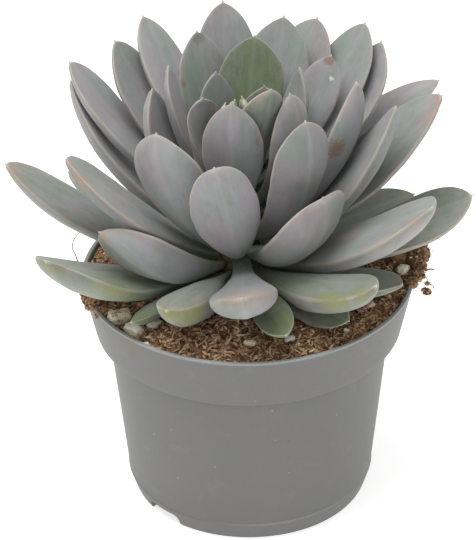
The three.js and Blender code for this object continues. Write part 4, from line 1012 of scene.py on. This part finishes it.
def scatter_soil():
    bits = Bits(4101)
    r = bits.rnd
    edge = 57.6
    made = 0
    while made < 7600:
        a, q = r.uniform(0, 2 * math.pi), math.sqrt(r.uniform(0.035, 1.0)) * edge
        x, y = q * math.cos(a), q * math.sin(a)
        if math.hypot(x - STEM_AT[0], y - STEM_AT[1]) < 9.8:
            continue
        made += 1
        z = SOIL_Z + ground(x, y)
        length = r.choice((1.5, 1.9, 2.3, 2.8, 3.6)) * r.uniform(0.8, 1.25)
        el = r.gauss(0.12, 0.38)
        az = r.uniform(0, 2 * math.pi)
        room = 58.2 - q
        if room < length * 0.5:  # bits at the wall lie along it
            az = a + math.pi / 2 + r.uniform(-0.25, 0.25)
        d = (math.cos(az) * math.cos(el), math.sin(az) * math.cos(el), math.sin(el))
        bits.fibre((x, y, z + r.uniform(0.05, 0.55)), d, length, r.uniform(0.55, 1.30), fibre_shade(r),
                   wet=1.0 if r.random() < 0.20 else 0.0)
    bits.piece("soil_fibres", BITS, "soil_mix")
    bits = Bits(4102)
    r = bits.rnd
    made = 0
    while made < 2000:
        a, q = r.uniform(0, 2 * math.pi), math.sqrt(r.uniform(0.035, 1.0)) * edge
        x, y = q * math.cos(a), q * math.sin(a)
        if math.hypot(x - STEM_AT[0], y - STEM_AT[1]) < 9.8:
            continue
        made += 1
        size = r.choice((0.35, 0.45, 0.6, 0.8, 1.2)) * r.uniform(0.8, 1.2)
        bits.lump((x, y, SOIL_Z + ground(x, y) + size * 0.2), size, shade_of(r, 0.05) * 0.9, wet=1.0 if r.random() < 0.25 else 0.0)
    bits.piece("soil_crumbs", BITS, "soil_mix")


scatter_soil()


def clump(name, lumps, seed, crumbs, fibres, reach=1.0):
    """A clod: a few big rough lumps grown together under crumbs and fibres."""
    bits = Bits(seed)
    r = bits.rnd
    for (x, y, z), size, stretch in lumps:
        v, f = LUMPS[2]
        pts = []
        for p in v:
            k = 1.0 + 0.30 * noise.fractal((p[0] * 1.6 + x, p[1] * 1.6 + y, p[2] * 1.6), 0.9, 2.0, 4)
            pts.append((p[0] * k * size * stretch[0] + x, p[1] * k * size * stretch[1] + y, p[2] * k * size * stretch[2] + z))
        bits._add(np.array(pts), f, r.uniform(0.14, 0.30), 0.0)
    for _ in range(crumbs):
        (x, y, z), size, stretch = r.choice(lumps)
        u = Vector((r.gauss(0, 1), r.gauss(0, 1), r.gauss(0.15, 1))).normalized()
        k = size * r.uniform(0.86, 1.08)
        at = (x + u.x * k * stretch[0], y + u.y * k * stretch[1], z + u.z * k * stretch[2])
        bits.lump(at, r.uniform(0.25, 0.8), shade_of(r, 0.06), wet=1.0 if r.random() < 0.3 else 0.0)
    for _ in range(fibres):
        (x, y, z), size, stretch = r.choice(lumps)
        u = Vector((r.gauss(0, 1), r.gauss(0, 1), r.gauss(0.15, 1))).normalized()
        k = size * r.uniform(0.80, 1.02)
        at = (x + u.x * k * stretch[0], y + u.y * k * stretch[1], z + u.z * k * stretch[2])
        d = Vector((r.gauss(0, 1), r.gauss(0, 1), r.gauss(0, 1))).normalized()
        d = (d * 1.0 + u * r.uniform(0.0, 0.9) * reach).normalized()
        bits.fibre(at, d, r.uniform(1.0, 3.4), r.uniform(0.22, 0.5), shade_of(r, 0.16), wet=1.0 if r.random() < 0.25 else 0.0)
    return bits.piece(name, BITS, "soil_mix")


clump("soil_clod_right", [
    ((54.6, 6.5, 88.4), 4.9, (1.2, 1.1, 0.80)), ((60.0, 8.8, 91.4), 4.3, (1.0, 1.0, 1.0)),
    ((60.5, 3.2, 88.9), 3.4, (1.05, 1.2, 0.85)), ((63.2, 5.6, 90.2), 2.7, (0.9, 1.0, 1.05)),
    ((55.5, -2.0, 87.0), 3.4, (1.1, 1.4, 0.7)), ((61.8, -0.6, 89.0), 2.4, (1.0, 1.1, 0.9)),
    ((61.2, -5.0, 88.0), 2.1, (1.0, 1.3, 0.75)), ((58.6, -8.8, 87.2), 2.0, (1.0, 1.4, 0.65)),
    ((56.0, 12.5, 89.0), 3.6, (1.2, 1.1, 0.8)),
], 77, 640, 520)
clump("soil_clod_left", [
    ((-56.5, -8.0, 87.6), 3.2, (1.0, 1.6, 0.6)), ((-56.8, -15.5, 87.5), 3.0, (0.9, 1.4, 0.6)),
    ((-55.4, -20.6, 87.4), 2.5, (1.0, 1.3, 0.62)), ((-52.0, -24.5, 86.2), 2.4, (1.1, 1.2, 0.6)),
    ((-55.5, 1.0, 86.8), 3.0, (1.0, 1.5, 0.6)),
], 78, 460, 400)


# ---------------------------------------------------------------- stones
def stone(name, at, half, turn, kind, pale, seed, *nodes, sink=0.35, square=3.2):
    v, f = ball(4)
    r = random.Random(seed)
    o = Vector((r.uniform(0, 50), r.uniform(0, 50), r.uniform(0, 50)))
    ct, st = math.cos(math.radians(turn)), math.sin(math.radians(turn))
    pts = []
    for p in v:
        p = Vector(p)
        # a worn block: between a ball and a box, with hollows
        k = (abs(p.x) ** square + abs(p.y) ** square + abs(p.z) ** square) ** (-1 / square)
        k *= 1.0 + 0.15 * noise.fractal(p * 1.3 + o, 1.0, 2.0, 3) + 0.07 * noise.fractal(p * 4.5 + o, 0.8, 2.0, 2)
        if kind > 0.3:
            c = noise.voronoi(p * 3.0 + o)[0][0]
            k *= 1.0 - 0.26 * kind * max(0.0, 0.34 - c) / 0.34
        x, y, z = p.x * k * half[0], p.y * k * half[1], p.z * k * half[2]
        pts.append((x * ct - y * st, x * st + y * ct, z))
    pts = np.array(pts) * 0.93
    z = SOIL_Z + ground(at[0], at[1]) - pts[:, 2].min() - half[2] * sink
    pts += np.array([at[0], at[1], z + (at[2] if len(at) > 2 else 0.0)])
    ob = make_object(name, pts, f, [PUMICE], attributes={"bit_look": np.tile((kind, pale, 0.0), (len(pts), 1))})
    face_out(ob)
    return wear(ob, "pumice", *nodes)


stone("pumice_brown", (-45.6, -28.6), (4.3, 2.6, 2.4), 20, 0.8, 0.62, 5, "pumice_1", square=4.5)
stone("pumice_cream", (-40.4, -36.2), (3.5, 2.0, 1.9), -35, 0.15, 0.92, 6, "pumice_2", square=7.0)
stone("pumice_pale", (-33.3, -33.2), (3.0, 1.5, 1.5), 48, 0.3, 0.92, 7, square=5.0)
stone("grit_white_1", (-36.0, -43.9), (1.2, 0.9, 0.8), 10, 0.0, 1.0, 8, square=6.0)
stone("grit_2", (0.4, -47.1), (2.3, 1.1, 0.9), -12, 0.2, 0.74, 9, square=5.0)
stone("grit_3", (14.3, -44.3), (1.9, 1.1, 0.9), 30, 0.2, 0.94, 10, square=6.0)
stone("grit_4", (-1.3, -35.1), (0.9, 0.7, 0.6), 0, 0.0, 0.96, 11, square=6.0)
stone("grit_5", (34.1, -37.7), (1.0, 0.8, 0.7), 15, 0.0, 0.98, 12, square=6.0)
stone("grit_6", (43.0, -22.6), (2.0, 1.1, 0.9), 25, 0.2, 0.82, 13, square=5.0)
stone("grit_7", (55.6, -2.6, 1.6), (2.6, 2.2, 2.0), 60, 0.8, 0.80, 14)
stone("grit_8", (17.0, -46.4), (0.9, 0.7, 0.6), 70, 0.0, 0.98, 15, square=6.0)
stone("grit_9", (-49.0, -24.0), (1.3, 0.9, 0.8), 30, 0.4, 0.62, 16, square=5.0)


# ---------------------------------------------------------------- hanging bits and one root hair
def thread(name, points, thick, shade, material, slot, sides=6):
    """A thin root through these points."""
    P = [Vector(p) for p in points]
    fine = []
    for i in range(len(P) - 1):
        a = P[max(i - 1, 0)]
        b, c = P[i], P[i + 1]
        d = P[min(i + 2, len(P) - 1)]
        for k in range(8):
            f = k / 8
            fine.append(0.5 * ((2 * b) + (c - a) * f + (2 * a - 5 * b + 4 * c - d) * f * f + (3 * b - a - 3 * c + d) * f ** 3))
    fine.append(P[-1])
    verts = []
    ref = Vector((0.3, 0.2, 0.93)).normalized()
    for i, p in enumerate(fine):
        d = (fine[min(i + 1, len(fine) - 1)] - fine[max(i - 1, 0)]).normalized()
        u = d.cross(ref).normalized()
        w = d.cross(u)
        f = i / (len(fine) - 1)
        rad = thick * 0.5 * (1.0 - 0.45 * f) * (1 + 0.18 * math.sin(i * 2.3))
        for k in range(sides):
            a = 2 * math.pi * k / sides
            verts.append(tuple(p + u * math.cos(a) * rad + w * math.sin(a) * rad))
    verts.append(tuple(fine[0]))
    verts.append(tuple(fine[-1]))
    n = len(fine)
    ob = make_object(name, verts, tube_faces(n, sides, n * sides, n * sides + 1), [material],
                     attributes={"bit_look": np.tile((shade, 0.0, 0.0), (len(verts), 1))})
    face_out(ob)
    return wear(ob, slot)


# thin rootlets with crumbs on them, right of the rim
thread("root_right", [(62.0, -3.4, 88.0), (63.8, -4.6, 86.8), (64.6, -5.2, 84.8), (64.3, -5.2, 82.2)], 0.34, 0.22, BITS, "soil_mix")
thread("root_right_2", [(64.5, -5.2, 84.0), (65.6, -5.2, 84.1), (66.5, -5.1, 83.2), (66.7, -5.1, 82.0)], 0.42, 0.20, BITS, "soil_mix")
thread("root_right_3", [(62.0, -2.0, 88.6), (63.8, -2.3, 88.4), (65.4, -2.0, 88.7), (67.0, -1.8, 88.3)], 0.80, 0.24, BITS, "soil_mix")
thread("root_right_4", [(64.2, 5.4, 91.4), (65.6, 5.0, 92.3), (66.6, 5.0, 92.2), (67.0, 4.8, 91.2)], 0.34, 0.20, BITS, "soil_mix")
clump("hanging_crumb", [((64.1, -5.2, 81.2), 1.25, (1.2, 1.0, 0.95)), ((63.2, -5.2, 81.9), 0.8, (1.0, 1.0, 1.0)),
                        ((65.1, -5.1, 80.6), 0.8, (1.0, 1.0, 1.0)), ((64.3, -5.2, 84.6), 0.45, (1.2, 0.8, 0.7))], 79, 44, 40, 0.6)
# dark root hair between two leaves at the left
thread("root_hair_left", [(-59.6, -24.4, 107.4), (-60.3, -23.0, 109.2), (-61.6, -19.6, 110.5), (-61.0, -16.0, 111.9), (-59.4, -13.4, 112.8)], 0.42, 0.12, BITS, "soil_mix")



# ---------------------------------------------------------------- floor, light, camera
def stage():
    me = bpy.data.meshes.new("floor")
    s = 30.0
    me.from_pydata([(-s, -s, 0), (s, -s, 0), (s, s, 0), (-s, s, 0)], [], [(0, 1, 2, 3)])
    me.materials.append(floor_material())
    fl = bpy.data.objects.new("floor", me)
    bpy.context.scene.collection.objects.link(fl)
    fl.location.z = -0.0002

    sc = bpy.context.scene
    world = bpy.data.worlds.new("studio")
    sc.world = world
    world.use_nodes = True
    bg = world.node_tree.nodes["Background"]
    bg.inputs[0].default_value = (1.0, 1.0, 1.0, 1.0)
    bg.inputs[1].default_value = WORLD_LIGHT

    def area(name, at, target, size, power):
        data = bpy.data.lights.new(name, "AREA")
        data.shape = "DISK"
        data.size = size
        data.energy = power
        o = bpy.data.objects.new(name, data)
        sc.collection.objects.link(o)
        o.location = at
        o.rotation_euler = (Vector(target) - Vector(at)).to_track_quat("-Z", "Y").to_euler()
        return o

    for row in LIGHTS:
        area(*row)
    sc.view_settings.view_transform = "Standard"
    sc.view_settings.look = "None"

    th = 0.5984590527442334
    yaw, roll = -0.0036588309440717215, -0.01303431861322739
    pe = -th + 0.030159152504977606
    eye = Vector((0.0, -1200.0 * math.cos(th), 45.0 + 1200.0 * math.sin(th))) * MM
    fw = Vector((math.sin(yaw) * math.cos(pe), math.cos(yaw) * math.cos(pe), math.sin(pe)))
    rt = Vector((math.cos(yaw), -math.sin(yaw), 0.0))
    up = rt.cross(fw)
    r2 = rt * math.cos(roll) + up * math.sin(roll)
    u2 = up * math.cos(roll) - rt * math.sin(roll)
    cam = bpy.data.objects.new("camera", bpy.data.cameras.new("camera"))
    sc.collection.objects.link(cam)
    m = Matrix((r2, u2, -fw)).transposed().to_4x4()
    m.translation = eye
    cam.matrix_world = m
    cam.data.sensor_width = 36.0
    cam.data.sensor_fit = "AUTO"
    cam.data.lens = 3269.8 * 36.0 / 540.0
    cam.data.clip_start, cam.data.clip_end = 0.05, 100.0
    sc.camera = cam


WORLD_LIGHT = 0.64
LIGHTS = [
    # name, place, target, diameter, watts
    ("key", (-0.32, -0.12, 1.50), (0.0, 0.0, 0.10), 1.15, 17.8),
    ("fill", (0.5, -1.2, 0.8), (0.0, 0.0, 0.08), 1.0, 0.8),
]
stage()

bpy.context.view_layer.update()
